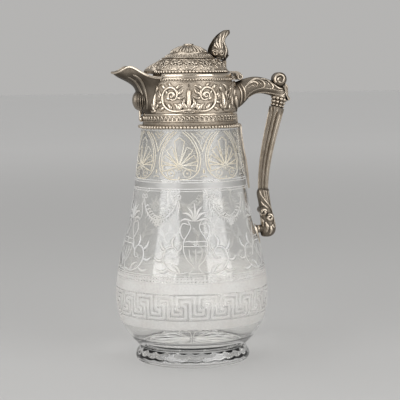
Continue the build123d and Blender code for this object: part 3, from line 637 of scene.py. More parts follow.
def lay_on(piece, target):
    """Lay a drawing made in side view on a packed casting, with its relief on what it meets."""
    mesh = nodes[target].data
    tree = BVHTree.FromPolygons(
        [vertex.co for vertex in mesh.vertices], [face.vertices[:] for face in mesh.polygons]
    )
    for vertex in piece.data.vertices:
        across, height, proud = vertex.co * MM
        flat = Vector((across, 0.0, height))
        spot = (tree.ray_cast(flat + NEAR_SIDE * RAY_START, -NEAR_SIDE)[0]
                or tree.find_nearest(flat + NEAR_SIDE * NEARER)[0])
        vertex.co = spot + NEAR_SIDE * proud
    piece.data.update()


def both_sides(name, lines, target, relief=0.8, sink=0.0):
    """Strokes laid on both sides of a casting in the jug's middle plane."""
    near = strokes(name, lines, relief)
    for vertex in near.data.vertices:
        vertex.co.z -= sink
    lay_on(near, target)
    far = twin_of(near, Matrix.Scale(-1, 4, (0, 1, 0)))
    far.data.flip_normals()
    return join(name, near, far)


# %% [markdown]
# ## The blown body
# The glass is one vessel: a lens-shaped foot, a thick base, a pear-shaped bowl and a neck that
# goes up inside the collar. A solid body with a thin look would be simpler, but it is turned
# from its outline with a true inner wall, because light bends at both faces.

# %% The blown body
GLASS_SIDE = [
    (45.1, 12.0), (47.5, 14.7), (55.2, 23.4), (60.4, 32.0), (63.2, 41.0), (64.55, 50.0),
    (64.8, 58.0), (64.3, 67.0), (61.8, 85.0), (57.6, 102.0), (52.9, 119.0), (49.6, 136.0),
    (47.2, 153.0), (45.0, 170.0), (42.3, 187.0), (41.0, 198.0),
]
FOOT_SIDE = [(48.2, 1.1), (49.0, 3.5), (48.2, 7.0), (45.1, 12.0)]
UNDER_SIDE = [(radius, 0.45) for radius in range(0, 44, 3)] + [(44.4, 0.3), (46.6, 0.0)]
NECK_SIDE = [(38.3, 199.5), (36.6, 213.4), (33.7, 213.4), (34.9, 199.0)]
BOWL_FLOOR = [(44.0, 18.6), (36.0, 16.6), (20.0, 16.0), (0.0, 16.0)]
WALL = 3.0
WALL_FOOT = 21.0  # the inner wall's lowest place, over the thick base
glass_line = smooth_outline(GLASS_SIDE, 6)


def glass_surface(height):
    """Radius, height and lean of the outer face of the glass."""
    for (r0, z0), (r1, z1) in zip(glass_line, glass_line[1:]):
        if z0 <= height <= z1:
            share = (height - z0) / (z1 - z0)
            return r0 + (r1 - r0) * share, height, -atan2(r1 - r0, z1 - z0)
    end = glass_line[0] if height < glass_line[0][1] else glass_line[-1]
    return end[0], height, 0.0


outer = smooth_outline(FOOT_SIDE, 5)[:-1] + glass_line
inner = [(radius - WALL, height) for radius, height in reversed(glass_line) if height > WALL_FOOT]
FOOT_CUTS, STEPS_PER_CUT = 28, 8
vessel = turn("glass_vessel", UNDER_SIDE + outer + NECK_SIDE + inner + BOWL_FLOOR,
              steps=FOOT_CUTS * STEPS_PER_CUT)
print("the bowl is widest at", max(radius for radius, height in glass_line), "mm from the axis")

# %% [markdown]
# ## Facets of the foot
# A cutter holds the foot to a wheel and takes a shallow scoop at each place round it. A boolean
# cut for each scoop would leave ragged edges, so the turned mesh's own points are moved in.
# The turning has a whole number of steps in each cut, which keeps the ridges sharp.

# %% Facets of the foot
CUT_DEPTH = 0.3
CUT_LOW, CUT_HIGH = 3.6, 11.9
CUT_INSIDE = 43.0  # points nearer to the axis belong to the base
FACET_ANGLE = radians(32)  # a fold sharper than this stays crisp
for vertex in vessel.data.vertices:
    radius, height = hypot(vertex.co.x, vertex.co.y) / MM, vertex.co.z / MM
    if CUT_LOW < height < CUT_HIGH and radius > CUT_INSIDE:
        around = abs(sin(FOOT_CUTS / 2 * atan2(vertex.co.y, vertex.co.x)))
        upward = sin(pi * (height - CUT_LOW) / (CUT_HIGH - CUT_LOW))
        kept = (radius - CUT_DEPTH * around * upward) / radius
        vertex.co.x *= kept
        vertex.co.y *= kept
vessel.data.update()
pick(vessel)
bpy.ops.object.shade_smooth_by_angle(angle=FACET_ANGLE)
vessel.visible_shadow = False  # light passes on through glass to the floor
dress(vessel, "jug", glass_clear, "glass", "glass_body")

# %% [markdown]
# ## The star in the bowl's floor
# A star of pointed rays is engraved in the floor. Cuts as fine as these vanish in a thick base
# seen so flat, so each ray's two bright edges are painted highlights: white strokes that stand
# a little proud of it.
# One ray is drawn along the X axis and copied round.

# %% The star in the bowl's floor
STAR_RAYS = 12
STAR_HEIGHT = 17.0
STAR_TURN = radians(5)
RAY_EDGE = [(3.0, 0.0), (14.0, 2.6), (25.0, 4.8), (33.0, 3.4), (38.5, 0.0)]
ray = strokes("star_rays", [([(out, edge * half) for out, half in RAY_EDGE], [0.25, 0.42, 0.3])
                            for edge in (1, -1)], relief=0.9, roundness=1)
ray.data.transform(Matrix.Scale(MM, 4) @ Matrix.Translation((0, 0, STAR_HEIGHT)))
# painted highlight: white strokes for the light on the rays' edges
dress(ring_of("star_rays", ray, STAR_RAYS, STAR_TURN), "jug", etched_scene, "glass")

# %% [markdown]
# ## Beaded wires
# A beaded wire is rolled from plain wire, which swells into balls between the dies. Instanced
# balls would be lighter, but they aren't meshes of their own. So one bead is made, from a ball
# of few faces, and its copies stand on a turned backing strip. The same bead serves the
# collar's foot, the row of pearls under the mouth, the lid's edge and the handle's capital.

# %% Beaded wires
def bead(name, radius, at_radius, height):
    """One bead of a ring, on the jug's +X side."""
    deselect()
    bpy.ops.mesh.primitive_ico_sphere_add(
        subdivisions=2, radius=radius * MM, location=(at_radius * MM, 0, height * MM)
    )
    ball = bpy.context.object
    ball.name = name
    settle(ball)
    return ball


def beaded_ring(name, count, radius, at_radius, height, backing):
    """A ring of beads on a turned backing strip."""
    beads = ring_of(name, bead(name, radius, at_radius, height), count)
    return join(name, beads, turn(name + "_strip", backing, steps=128))


# %% Beads on the collar and the lid
COLLAR_BEADS = 89
collar_beads = beaded_ring(
    "collar_beads", COLLAR_BEADS, radius=1.42, at_radius=42.55, height=199.5,
    backing=[(41.2, 198.3), (41.9, 198.5), (42.0, 199.5), (41.9, 200.6), (40.1, 200.9),
             (40.3, 199.0), (41.2, 198.3)],
)
dress(collar_beads, "jug", silver_fresh, "silver_plain", "collar_bead_rim")

LID_BEADS = 70
lid_beads = beaded_ring(
    "lid_beads", LID_BEADS, radius=1.5, at_radius=32.3, height=245.1,
    backing=[(31.9, 243.9), (32.3, 243.9), (32.6, 245.0), (32.3, 246.2), (31.9, 246.2),
             (31.9, 243.9)],
)
dress(lid_beads, "lid", silver_fresh, "silver_plain", "lid_bead_rim")

# %% [markdown]
# ## The collar's bands
# The collar is a slightly tapering tube, so its outline is a straight line in height. Above
# the beads runs a stamped guilloche of slanting leaves between two fine fillets, and under the
# mouth a row of small pearls between two more. A stamped strip could be one displaced sheet.
# Each leaf is drawn with strokes instead, because they keep a crisp edge at this size.

# %% The collar's bands
COLLAR_FOOT, COLLAR_TALL = 198.0, 45.6
COLLAR_RADIUS, COLLAR_TAPER = 40.3, 4.9  # radius at the foot, and what it loses up to the mouth
COLLAR_LEAN = 0.1
FILLET_ROOT = 0.6  # how deep a fillet is let into the collar


def collar_surface(proud):
    """The collar's face, with ornament seated this far out."""

    def surface(height):
        radius = COLLAR_RADIUS - COLLAR_TAPER * (height - COLLAR_FOOT) / COLLAR_TALL
        return radius + proud, height, COLLAR_LEAN

    return surface


def fillet(height, proud, half):
    """A fine half-round wire round the collar."""
    radius = collar_surface(proud)(height)[0]
    back = [(radius - FILLET_ROOT, height + half), (radius - FILLET_ROOT, height - half)]
    front = arc(radius, height, half, start=-90, end=90, step=30)
    return turn("fillet", back[1:] + front + back, steps=128)


# %% The guilloche
LEAF_UNITS = 64
leaf_unit = strokes("collar_guilloche", [
    (sweep([(-1.8, 207.9), (-0.7, 208.35), (0.5, 207.7), (1.0, 206.4), (0.6, 204.9)]),
     [0.35, 0.9, 1.0, 0.75, 0.4]),
    (sweep([(-1.25, 206.6), (-0.6, 206.1), (-0.7, 205.2)]), [0.4, 0.55, 0.3]),
], relief=1.15, roundness=1)
wrap(leaf_unit, collar_surface(proud=0.35), middle=0.0, at_radius=39.4)
backing = turn("guilloche_backing", [(39.0, 203.9), (39.85, 203.95), (39.45, 208.8), (38.6, 208.9)])
guilloche = join("collar_guilloche", ring_of("collar_guilloche", leaf_unit, LEAF_UNITS),
                 fillet(204.3, proud=0.5, half=0.42), fillet(208.85, proud=0.5, half=0.4),
                 backing)
dress(guilloche, "jug", silver_chased, "silver_chased", "collar_leaf_band")

# %% The pearls under the mouth
PEARLS = 96
SPOUT_HALF_WIDTH = radians(37.0)  # half the arc that the spout opens in the collar


def clear_of_spout(piece):
    """Cut away what would cross the spout's throat, and close the ends."""
    bm = bmesh.new()
    bm.from_mesh(piece.data)
    crossing = []
    for face in bm.faces:
        middle = face.calc_center_median()
        if pi - abs(atan2(middle.y, middle.x)) < SPOUT_HALF_WIDTH:
            crossing.append(face)
    bmesh.ops.delete(bm, geom=crossing, context="FACES")
    rims = [edge for edge in bm.edges if edge.is_boundary]
    bmesh.ops.holes_fill(bm, edges=rims, sides=0)
    bm.to_mesh(piece.data)
    bm.free()
    return piece


pearl = bead("pearls", radius=0.98, at_radius=36.5, height=238.6)
pearls = ring_of("pearls", pearl, PEARLS)
pearl_strips = [fillet(237.0, proud=0.25, half=0.35), fillet(240.2, proud=0.25, half=0.35),
                turn("pearl_backing", [(35.6, 236.4), (36.5, 236.45), (36.15, 240.6),
                                       (35.4, 240.6), (35.6, 236.4)])]
pearl_band = join("mouth_pearls", clear_of_spout(pearls),
                  *[clear_of_spout(strip) for strip in pearl_strips])
dress(pearl_band, "jug", silver_fresh, "silver_plain")

# %% [markdown]
# ## The spout
# The spout is raised from sheet and soldered to the collar. Three fine ridges run down each of
# its sides like the edges of folded leaves. They could be pushed out of the sheet itself, but
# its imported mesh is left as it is. So they are drawn in side view and laid on it.

# %% The spout's ridges
spout_ridges = both_sides("spout_ridges", [
    (sweep([(-49.6, 243.2), (-45.4, 240.6), (-41.8, 235.6), (-39.6, 228.4), (-38.6, 221.0),
            (-38.4, 214.6)], 8), [0.4, 0.9, 1.05, 1.0, 0.8, 0.4]),
    (sweep([(-53.6, 241.6), (-48.4, 238.2), (-44.6, 233.4), (-42.4, 227.6), (-41.2, 220.6),
            (-40.6, 214.6)], 8), [0.3, 0.75, 0.9, 0.9, 0.7, 0.35]),
    (sweep([(-57.0, 239.4), (-52.4, 235.4), (-48.6, 230.0), (-46.4, 225.0)], 8),
     [0.2, 0.5, 0.55, 0.3]),
], "spout", relief=0.95, sink=0.1)
dress(spout_ridges, "jug", silver_brown, "silver_plain")

# %% [markdown]
# ## The gadrooned boss
# A boss with upright lobes, called gadroons, covers the spout's lower end, and a small leaf
# hangs under it. It is cast, and could be joined from separate lobes. One ball with its points
# drawn in between the lobes is simpler, and its poles close by themselves.

# %% The gadrooned boss and its leaf
GADROONS = 22
GROOVE_DEPTH = 0.16
BOSS_MIDDLE = Vector((-42.1, 0.0, 221.6))
BOSS_HALF = Vector((6.5, 16.0, 8.8))
LEAF_TOP = 215.6
LEAF_BACK, LEAF_SLOPE = -42.4, 0.28  # where the leaf's top lies, and how it follows the collar
deselect()
bpy.ops.mesh.primitive_uv_sphere_add(segments=112, ring_count=40, radius=1.0)
boss = bpy.context.object
boss.name = "gadrooned_boss"
for vertex in boss.data.vertices:
    x, y, z = vertex.co
    groove = 1.0 - abs(sin(GADROONS / 2 * atan2(y, x)))
    lobe = 1.0 - GROOVE_DEPTH * groove * hypot(x, y)
    vertex.co = (Vector((x * lobe, y * lobe, z)) * BOSS_HALF + BOSS_MIDDLE) * MM
pick(boss)
bpy.ops.object.shade_smooth()
under_leaf = strokes("under_leaf", [
    leaf((0.0, LEAF_TOP), (0.3, 212.6), (0.0, 209.4), 1.7),
    leaf((-0.8, 215.4), (-3.2, 213.8), (-4.0, 211.2), 1.2),
    leaf((0.8, 215.4), (3.2, 213.8), (4.0, 211.2), 1.2),
], relief=0.8)
for vertex in under_leaf.data.vertices:
    across, height, proud = vertex.co
    back = LEAF_BACK + LEAF_SLOPE * (LEAF_TOP - height)
    vertex.co = Vector((back - proud, across, height)) * MM
under_leaf.data.flip_normals()
dress(join("gadrooned_boss", boss, under_leaf), "jug", silver_brown, "silver_chased",
      "spout_boss")

# %% [markdown]
# ## Foliage on the collar
# The frieze is the jug's richest band: scrolling acanthus in high relief on a dark, matted
# ground. A calyx stands in the middle of each side. From it a stem runs out along the foot,
# winds into a scroll, and throws leaves off its outer side. Sculpting would give softer forms,
# but strokes can be drawn once, mirrored about the calyx and wrapped on either side.

# %% The foliage's drawing
half_rinceau = [
    (sweep([(1.2, 2.6), (5, 1.9), (10, 1.4), (15, 1.9), (19.6, 4.4), (22.8, 8.8), (23.4, 14.2),
            (20.8, 19), (15.8, 21), (11.6, 19.2), (9.8, 15.2), (11.2, 11.4), (14.6, 10.4)]),
     [1.15, 0.9, 1.0, 1.15, 1.2, 1.1, 1.15, 1.2, 0.95, 0.6]),
    leaf((14.6, 2.2), (16.6, 6.2), (21.0, 8.6), 1.5),
    leaf((9.2, 1.6), (9.6, 5.6), (13.8, 8.0), 1.6),
    leaf((8.6, 1.8), (6.6, 5.2), (7.6, 9.6), 1.4),
    leaf((20.6, 5.0), (24.4, 3.0), (27.8, 4.0), 1.5),
    leaf((22.9, 9.2), (26.6, 8.6), (28.8, 11.2), 1.4),
    leaf((23.3, 14.0), (26.4, 15.6), (27.8, 19.4), 1.4),
    leaf((20.6, 19.2), (23.4, 22.0), (27.6, 22.6), 1.5),
    leaf((15.6, 21.2), (16.8, 23.6), (20.8, 24.0), 1.2),
    leaf((11.4, 19.2), (8.6, 21.6), (4.4, 22.9), 1.5),
    leaf((9.9, 15.4), (6.8, 16.8), (4.6, 20.2), 1.3),
    leaf((10.2, 12.8), (6.8, 12.0), (3.4, 14.0), 1.2),
    leaf((20.9, 18.6), (19.0, 16.4), (19.6, 13.4), 1.1),
    leaf((1.0, 3.4), (4.6, 7.6), (3.6, 12.6), 1.7),
    leaf((1.6, 3.0), (6.4, 6.4), (10.4, 6.6), 1.4),
    (coil((15.0, 14.4), 3.4, 1.0, 250, 1.25, 22), [0.7, 1.0, 0.9, 0.7]),
    leaf((15.0, 11.2), (18.6, 12.2), (19.8, 15.8), 1.3),
    leaf((12.2, 12.6), (12.8, 16.0), (16.0, 18.2), 1.1),
    leaf((25.4, 12.0), (27.4, 14.6), (26.4, 17.6), 1.0),
    leaf((5.0, 1.8), (3.4, 0.6), (0.8, 0.7), 0.8),
    leaf((31.0, 3.4), (32.4, 10.0), (31.2, 17.4), 1.9),
    leaf((31.2, 3.0), (34.8, 6.6), (34.6, 12.4), 1.4),
    leaf((30.8, 3.0), (28.2, 5.8), (28.4, 9.0), 1.2),
    leaf((31.2, 17.0), (29.6, 20.4), (31.2, 24.0), 1.3),
]
far_scroll = [
    (sweep([(30.6, 2.2), (34, 1.6), (39, 2.0), (43.4, 4.6), (45.6, 9.4), (45.0, 14.6), (41.6, 18.4),
            (37.4, 17.6), (36.0, 14.0), (38.0, 11.0)]), [0.9, 1.0, 1.15, 1.1, 1.0, 0.6]),
    leaf((38.4, 1.9), (39.6, 5.2), (43.0, 7.8), 1.4),
    leaf((43.6, 4.8), (47.0, 3.4), (49.6, 5.0), 1.2),
    leaf((45.4, 10.0), (48.2, 10.6), (49.4, 14.0), 1.2),
    leaf((43.4, 17.4), (45.6, 20.4), (49.0, 21.6), 1.3),
    leaf((38.6, 18.4), (36.4, 21.4), (33.4, 23.4), 1.3),
    (coil((40.6, 13.2), 2.8, 0.9, 250, 1.2, 20), [0.7, 0.95, 0.8, 0.6]),
    leaf((41.8, 16.4), (43.4, 13.4), (42.4, 10.6), 1.0),
]
calyx = [
    ([(0, 3.0), (0, 8.0), (0, 12.0), (0, 17.0), (0, 20.6)], [0.8, 2.1, 1.5, 1.9, 0.2]),
    ([(0, 1.0), (0, 2.4), (0, 3.8)], [1.0, 1.9, 1.0]),
    ([(-0.1, 22.6), (0, 22.6), (0.1, 22.6)], [0.7, 1.3, 0.7]),
]
near_spout = [
    leaf((-29.5, 2.0), (-34.0, 1.4), (-38.0, 3.2), 1.2),
    leaf((-31.0, 2.2), (-34.0, 5.2), (-35.0, 9.4), 1.3),
]
side = calyx + mirrored(half_rinceau) + far_scroll + near_spout
print("strokes on each side of the frieze:", len(side))

# %% Foliage on the collar
FRIEZE_FOOT = 211.4
FRIEZE_RADIUS = 38.6
FRIEZE_PROUD = 0.70
SWELL = 1.18  # the strokes are drawn fine and swollen to their full width here


def frieze_side(name, middle, flip):
    """One side of the collar's foliage; a flip of -1 mirrors it."""
    lines = [([(x * flip, y + FRIEZE_FOOT) for x, y in points], [width * SWELL for width in widths])
             for points, widths in side]
    drawing = strokes(name, lines, relief=0.95)
    return wrap(drawing, collar_surface(FRIEZE_PROUD), middle, FRIEZE_RADIUS)


foliage = join("collar_foliage", frieze_side("foliage_near", facing(0.0), 1.0),
               frieze_side("foliage_far", -facing(0.0), -1.0))
dress(foliage, "jug", silver_chased, "silver_chased")

# %% [markdown]
# ## The lid
# The lid rises in a soft ogee covered with chased scrolls, then a narrow band of upright
# leaves, and ends in a low cap with radiating flutes round a flat button. The scrolls could be
# pressed in from a height map, but relief that fine needs a very dense mesh. They are one
# drawing of strokes, repeated round the slope. Its height is measured along the slope, so that
# leaves are not stretched where the metal lies nearly flat.

# %% The lid's surface
LID_SIDE = smooth_outline([(32.0, 246.3), (31.3, 248.5), (29.2, 251.9), (27.0, 253.4),
                           (24.2, 255.3), (21.8, 256.9)], 6)


def lid_surface(proud):
    """The lid's slope by distance up it, with ornament seated this far out."""

    def surface(along):
        left = max(along, 0.0)
        for (r0, z0), (r1, z1) in zip(LID_SIDE, LID_SIDE[1:]):
            span = hypot(r1 - r0, z1 - z0)
            if left <= span or (r1, z1) == LID_SIDE[-1]:
                share = left / span
                lean = atan2(r0 - r1, z1 - z0)
                radius = r0 + (r1 - r0) * share + proud * cos(lean)
                return radius, z0 + (z1 - z0) * share + proud * sin(lean), lean
            left -= span

    return surface


slope_length = sum(hypot(b[0] - a[0], b[1] - a[1]) for a, b in zip(LID_SIDE, LID_SIDE[1:]))
print("slope of the lid in mm:", round(slope_length, 1))

# %% Scrolls on the lid
lid_scroll = [
    (sweep([(-6.2, 1.2), (-3.6, 0.7), (-0.6, 1.0), (1.8, 2.4), (2.8, 4.8), (1.8, 7.0), (-0.4, 7.8),
            (-2.2, 6.6), (-2.2, 4.8), (-0.8, 4.0)], 4), [0.4, 0.6, 0.65, 0.7, 0.7, 0.6, 0.4]),
    leaf((-3.0, 1.0), (-3.4, 3.0), (-5.0, 4.8), 0.9),
    leaf((-0.4, 1.1), (1.6, 0.7), (4.2, 1.4), 0.8),
    leaf((2.0, 2.8), (4.2, 3.2), (5.6, 5.4), 0.9),
    leaf((2.7, 5.6), (4.4, 6.4), (6.0, 8.8), 0.85),
    leaf((1.0, 7.6), (2.4, 9.4), (5.0, 10.0), 0.85),
    leaf((-0.8, 8.0), (-2.0, 9.6), (-4.8, 9.8), 0.85),
    leaf((-2.4, 6.4), (-4.2, 6.8), (-5.6, 8.4), 0.75),
    leaf((-0.6, 5.8), (0.4, 5.6), (1.0, 4.4), 0.7),
    leaf((0.4, 9.4), (0.2, 11.2), (1.6, 12.8), 0.75),
    leaf((-5.2, 11.0), (-3.4, 12.0), (-1.2, 11.4), 0.7),
    leaf((5.4, 11.0), (4.0, 12.2), (2.4, 11.6), 0.6),
]
LID_UNITS = 14
unit = wrap(strokes("lid_scrolls", lid_scroll, relief=0.85, roundness=1),
            lid_surface(proud=0.15), middle=0.0, at_radius=27.0)
lid_scrolls = ring_of("lid_foliage", unit, LID_UNITS, facing(4.0))
wire_line = arc(radius=22.6, height=256.75, half=0.55, start=0, end=360, step=45)
slope_wire = turn("slope_wire", wire_line, steps=128)
dress(join("lid_foliage", lid_scrolls, slope_wire), "lid", silver_fresh, "silver_chased")

# %% [markdown]
# ## The hood over the throat
# Towards the spout the lid's slope runs on as a pointed hood, so that it covers the throat.
# Pulling the lid's own rim out would stretch its chasing. So the hood is a sheet of its own,
# arched across and falling to its tip, which Solidify thickens. Leaves run back over it.

# %% The hood's shape
HOOD_ROOT, HOOD_TIP = 26.8, 38.3  # distances from the jug's axis
HOOD_RIDGE = [(HOOD_ROOT, 253.2), (29.5, 252.0), (32.5, 250.4), (35.5, 248.6), (HOOD_TIP, 246.4)]
HOOD_FOOT = 245.9
HOOD_HALF, HOOD_TIP_HALF = 13.2, 0.4
HOOD_FULLNESS = 1.7  # a higher power keeps the hood wide for longer
HOOD_ARCH = 2.2  # a higher power squares the arch across it
HOOD_THICK = 0.8


def hood_half(reach):
    """Half the hood's width at a distance from the jug's axis."""
    share = max((reach - HOOD_ROOT) / (HOOD_TIP - HOOD_ROOT), 0.0)
    return HOOD_HALF * (1.0 - share ** HOOD_FULLNESS) + HOOD_TIP_HALF


def hood_top(reach, side):
    """Height of the hood's skin; side runs from -1 to 1 across it."""
    for (r0, z0), (r1, z1) in zip(HOOD_RIDGE, HOOD_RIDGE[1:]):
        if reach <= r1 or r1 == HOOD_TIP:
            ridge = z0 + (z1 - z0) * (reach - r0) / (r1 - r0)
            return HOOD_FOOT + (ridge - HOOD_FOOT) * (1.0 - abs(side) ** HOOD_ARCH)


print("height of the hood at its root in mm:", round(hood_top(HOOD_ROOT, 0.0) - HOOD_FOOT, 2))

# %% The hood's sheet
STEPS_OUT, STEPS_ACROSS = 24, 36
ROW = STEPS_ACROSS + 1
hood_points = []
for out_step in range(STEPS_OUT + 1):
    reach = HOOD_ROOT + (HOOD_TIP - HOOD_ROOT) * out_step / STEPS_OUT
    for step in range(ROW):
        side = 2.0 * step / STEPS_ACROSS - 1.0
        hood_points.append((-reach * MM, side * hood_half(reach) * MM, hood_top(reach, side) * MM))
hood = raw_piece("beak_hood", hood_points, [], [
    (first, first + 1, first + ROW + 1, first + ROW)
    for out_step in range(STEPS_OUT)
    for first in range(out_step * ROW, out_step * ROW + STEPS_ACROSS)
])
thicken(hood, HOOD_THICK, offset=0.0)
open_whole(hood)
close_outward()
bpy.ops.object.shade_smooth()

# %% The hood's leaves
BEAK_LEAF_PROUD = 0.2
side_leaves = [
    leaf((28.2, 1.6), (32.0, 4.6), (30.4, 8.8), 1.3),
    leaf((30.4, 1.2), (34.2, 3.4), (34.4, 6.2), 1.2),
    leaf((32.8, 0.9), (36.2, 1.9), (37.0, 3.2), 0.9),
    leaf((27.4, 4.0), (28.6, 8.4), (27.6, 11.4), 1.1),
]
other_leaves = [([(x, -y) for x, y in points], widths) for points, widths in side_leaves]
middle_rib = (sweep([(27.6, 0.0), (33.0, 0.0), (38.4, 0.0)]), [1.0, 0.9, 0.4])
beak_leaves = strokes("beak_leaves", [middle_rib] + side_leaves + other_leaves, roundness=1)
for vertex in beak_leaves.data.vertices:
    reach, across, proud = vertex.co
    side = max(-1.0, min(1.0, across / hood_half(reach)))
    top = hood_top(max(reach, HOOD_ROOT), side)
    vertex.co = Vector((-reach, -across, top + proud + BEAK_LEAF_PROUD)) * MM
dress(join("beak_hood", hood, beak_leaves), "lid", silver_fresh, "silver_chased")

# %% [markdown]
# ## The leaf band
# Between the slope and the cap stands a band of upright leaves, each an outline with a rib.
# It is a turned ring with one leaf copied round its sloping face, as a rolling die makes it.

# %% The leaf band
BAND_UNITS = 30
BAND_RADIUS, BAND_FOOT = 21.2, 257.0
BAND_SLOPE, BAND_IN, BAND_UP = 5.7, 4.6, 3.6  # its width, and how far that goes in and up
BAND_LEAN = radians(50)


def band_surface(along):
    """The sloping face of the leaf band, by distance up it."""
    share = along / BAND_SLOPE
    return BAND_RADIUS - BAND_IN * share, BAND_FOOT + BAND_UP * share, BAND_LEAN


band_unit = strokes("lid_leaves", [
    (sweep([(-1.7, 0.5), (-1.5, 3.0), (0.0, 4.6), (1.5, 3.0), (1.7, 0.5)]), [0.35, 0.45, 0.35]),
    (sweep([(0, 0.5), (0, 2.0), (0, 3.4)]), [0.3, 0.75, 0.3]),
], relief=0.9, roundness=1)
wrap(band_unit, band_surface, middle=0.0, at_radius=19.0)
leaves = ring_of("lid_leaves", band_unit, BAND_UNITS)
band_body = turn("lid_band_body", [(13.2, 256.9), (21.2, 256.9), (21.3, 257.3), (20.9, 257.6),
                                   (20.2, 257.7), (17.2, 260.0), (16.8, 260.6), (13.2, 260.6),
                                   (13.2, 256.9)], steps=128)
dress(join("lid_leaf_band", leaves, band_body), "lid", silver_fresh, "silver_chased",
      "lid_ornament_band")

# %% [markdown]
# ## The fluted cap and its button
# The cap is a low dome raised over a stake, with flutes chased from its edge to a flat button.
# Grooves could be cut with booleans. Here the ribs between the flutes are strokes that widen
# towards the edge, laid on a turned dome. It is part of a sphere, so its height has a formula.

# %% The fluted cap
CAP_RADIUS, CAP_RISE, CAP_TOP = 16.2, 7.4, 268.0
DOME_RADIUS = (CAP_RADIUS ** 2 + CAP_RISE ** 2) / (2 * CAP_RISE)
DOME_MIDDLE = CAP_TOP - DOME_RADIUS
SHELL_OUTSIDE, SHELL_INSIDE = 0.35, 1.2  # how far the shell's faces lie inside the cap's


def dome(radius, inset):
    """Height at a radius of a dome that lies this far inside the cap's."""
    return DOME_MIDDLE + ((DOME_RADIUS - inset) ** 2 - radius ** 2) ** 0.5


FLUTES = 28
rib_radii = [4.2, 7.0, 10.0, 12.5, 14.4, 15.2]
rib_widths = [0.3, 0.5, 0.74, 0.98, 1.14, 0.8]
rib = strokes("cap_ribs", [([(radius, 0.0) for radius in rib_radii], rib_widths)], relief=0.95)
for vertex in rib.data.vertices:
    radius, across, proud = vertex.co
    out = radius + proud * radius / DOME_RADIUS
    vertex.co = Vector((out, across, dome(radius, SHELL_OUTSIDE) + proud)) * MM
ribs = ring_of("cap_ribs", rib, FLUTES)
shell_radii = [16.0, 14.5, 12.0, 9.0, 6.0, 3.0, 1.4]
shell_line = [(radius, dome(radius, SHELL_OUTSIDE)) for radius in shell_radii]
shell_line += [(radius, dome(radius, SHELL_INSIDE)) for radius in reversed(shell_radii)]
cap_shell = turn("cap_shell", shell_line + shell_line[:1], steps=144)
cap_edge = turn("cap_edge", [(15.6, 260.5), (16.2, 260.6), (16.2, 261.2), (15.6, 261.4),
                             (15.2, 260.9), (15.6, 260.5)], steps=144)
dress(join("lid_fluted_dome", ribs, cap_shell, cap_edge), "lid", silver_fresh, "silver_chased",
      "lid_fluted_cap")

# %% The flat button
button = turn("flat_button", [(0.0, 266.6), (4.2, 266.6), (4.4, 267.5), (4.4, 268.1), (4.0, 268.6),
                              (3.0, 268.75), (0.0, 268.8)], steps=64)
dress(button, "lid", silver_fresh, "silver_plain", "lid_button")

# %% [markdown]
# ## The thumbpiece
# A cast palmette stands over the hinge, so that a thumb can tip the lid back. Its lobes fan
# from two small scrolls, and a thick wire strengthens its back. Both faces could be drawn, but
# they are the same. So the lobes are drawn once in side view, laid on one face of the packed
# casting and mirrored to the other.

# %% The thumbpiece
thumb_lobes = [
    (sweep([(22.6, 264.6), (20.8, 267.0), (20.4, 270.0)]), [0.4, 1.2, 0.5]),
    (sweep([(24.2, 264.4), (22.8, 269.0), (22.8, 274.0)]), [0.4, 1.2, 0.5]),
    (sweep([(25.8, 264.4), (25.4, 270.6), (27.0, 277.0)]), [0.4, 1.1, 1.2, 0.5]),
    (sweep([(27.4, 264.4), (27.6, 270.6), (30.2, 277.6)]), [0.4, 0.9, 1.0, 0.5]),
    (coil((21.0, 260.8), 2.7, 0.6, 150, -1.6), [0.4, 0.6, 0.6, 0.55]),
    (coil((26.8, 260.6), 2.5, 0.6, 30, 1.6), [0.4, 0.6, 0.6, 0.55]),
    (sweep([(22.6, 256.8), (25.0, 256.2), (27.6, 255.4)]), [0.5, 0.9, 0.5]),
    # the thick wire up its back
    (sweep([(33.5, 278.7), (31.2, 274.8), (29.4, 270.8), (30.5, 267.4), (31.4, 263.0), (30.0, 258.0),
            (28.8, 255.4)], 6), [0.5, 0.8, 0.9, 1.0, 0.95, 0.8, 0.4]),
]
palmette = both_sides("thumb_palmette", thumb_lobes, "thumbpiece", relief=1.0)
dress(palmette, "lid", silver_fresh, "silver_chased")

# %% [markdown]
# ## The knuckles' eyes
# A turned ring stands round each end of the hinge pin and catches the light as a small eye.
# It could be cut into the knuckle. It is turned upright like every other ring here, and then
# laid over onto the pin's own axis.

# %% The knuckles' turned eyes
EYE_INSET = 0.25 * MM  # how far a ring lies inside the pin's end
pin_low, pin_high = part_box("hinge_pin")
eye_line = arc(radius=1.85, height=0.0, half=0.5, start=0, end=360, step=36)
eyes = []
for end in (pin_high.y - EYE_INSET, pin_low.y + EYE_INSET):
    eye = turn("hinge_eyes", eye_line, steps=40)
    place = Vector(((pin_low.x + pin_high.x) / 2, end, (pin_low.z + pin_high.z) / 2))
    eye.data.transform(Matrix.Translation(place) @ Matrix.Rotation(pi / 2, 4, "X"))
    eyes.append(eye)
dress(join("hinge_eyes", *eyes), "lid", silver_fresh, "silver_plain")

# %% [markdown]
# ## The handle
# The handle is a casting in five parts: an arch wrapped in acanthus, a scroll on its shoulder,
# a beaded capital, a bowed fluted column and a scrolled terminal that bears on the glass. All
# of it could be modelled again. The arch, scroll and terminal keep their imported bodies, whose
# sweep is right, and receive raised leaves. The column and the capital are made afresh, because
# their flutes and beads are their whole character.

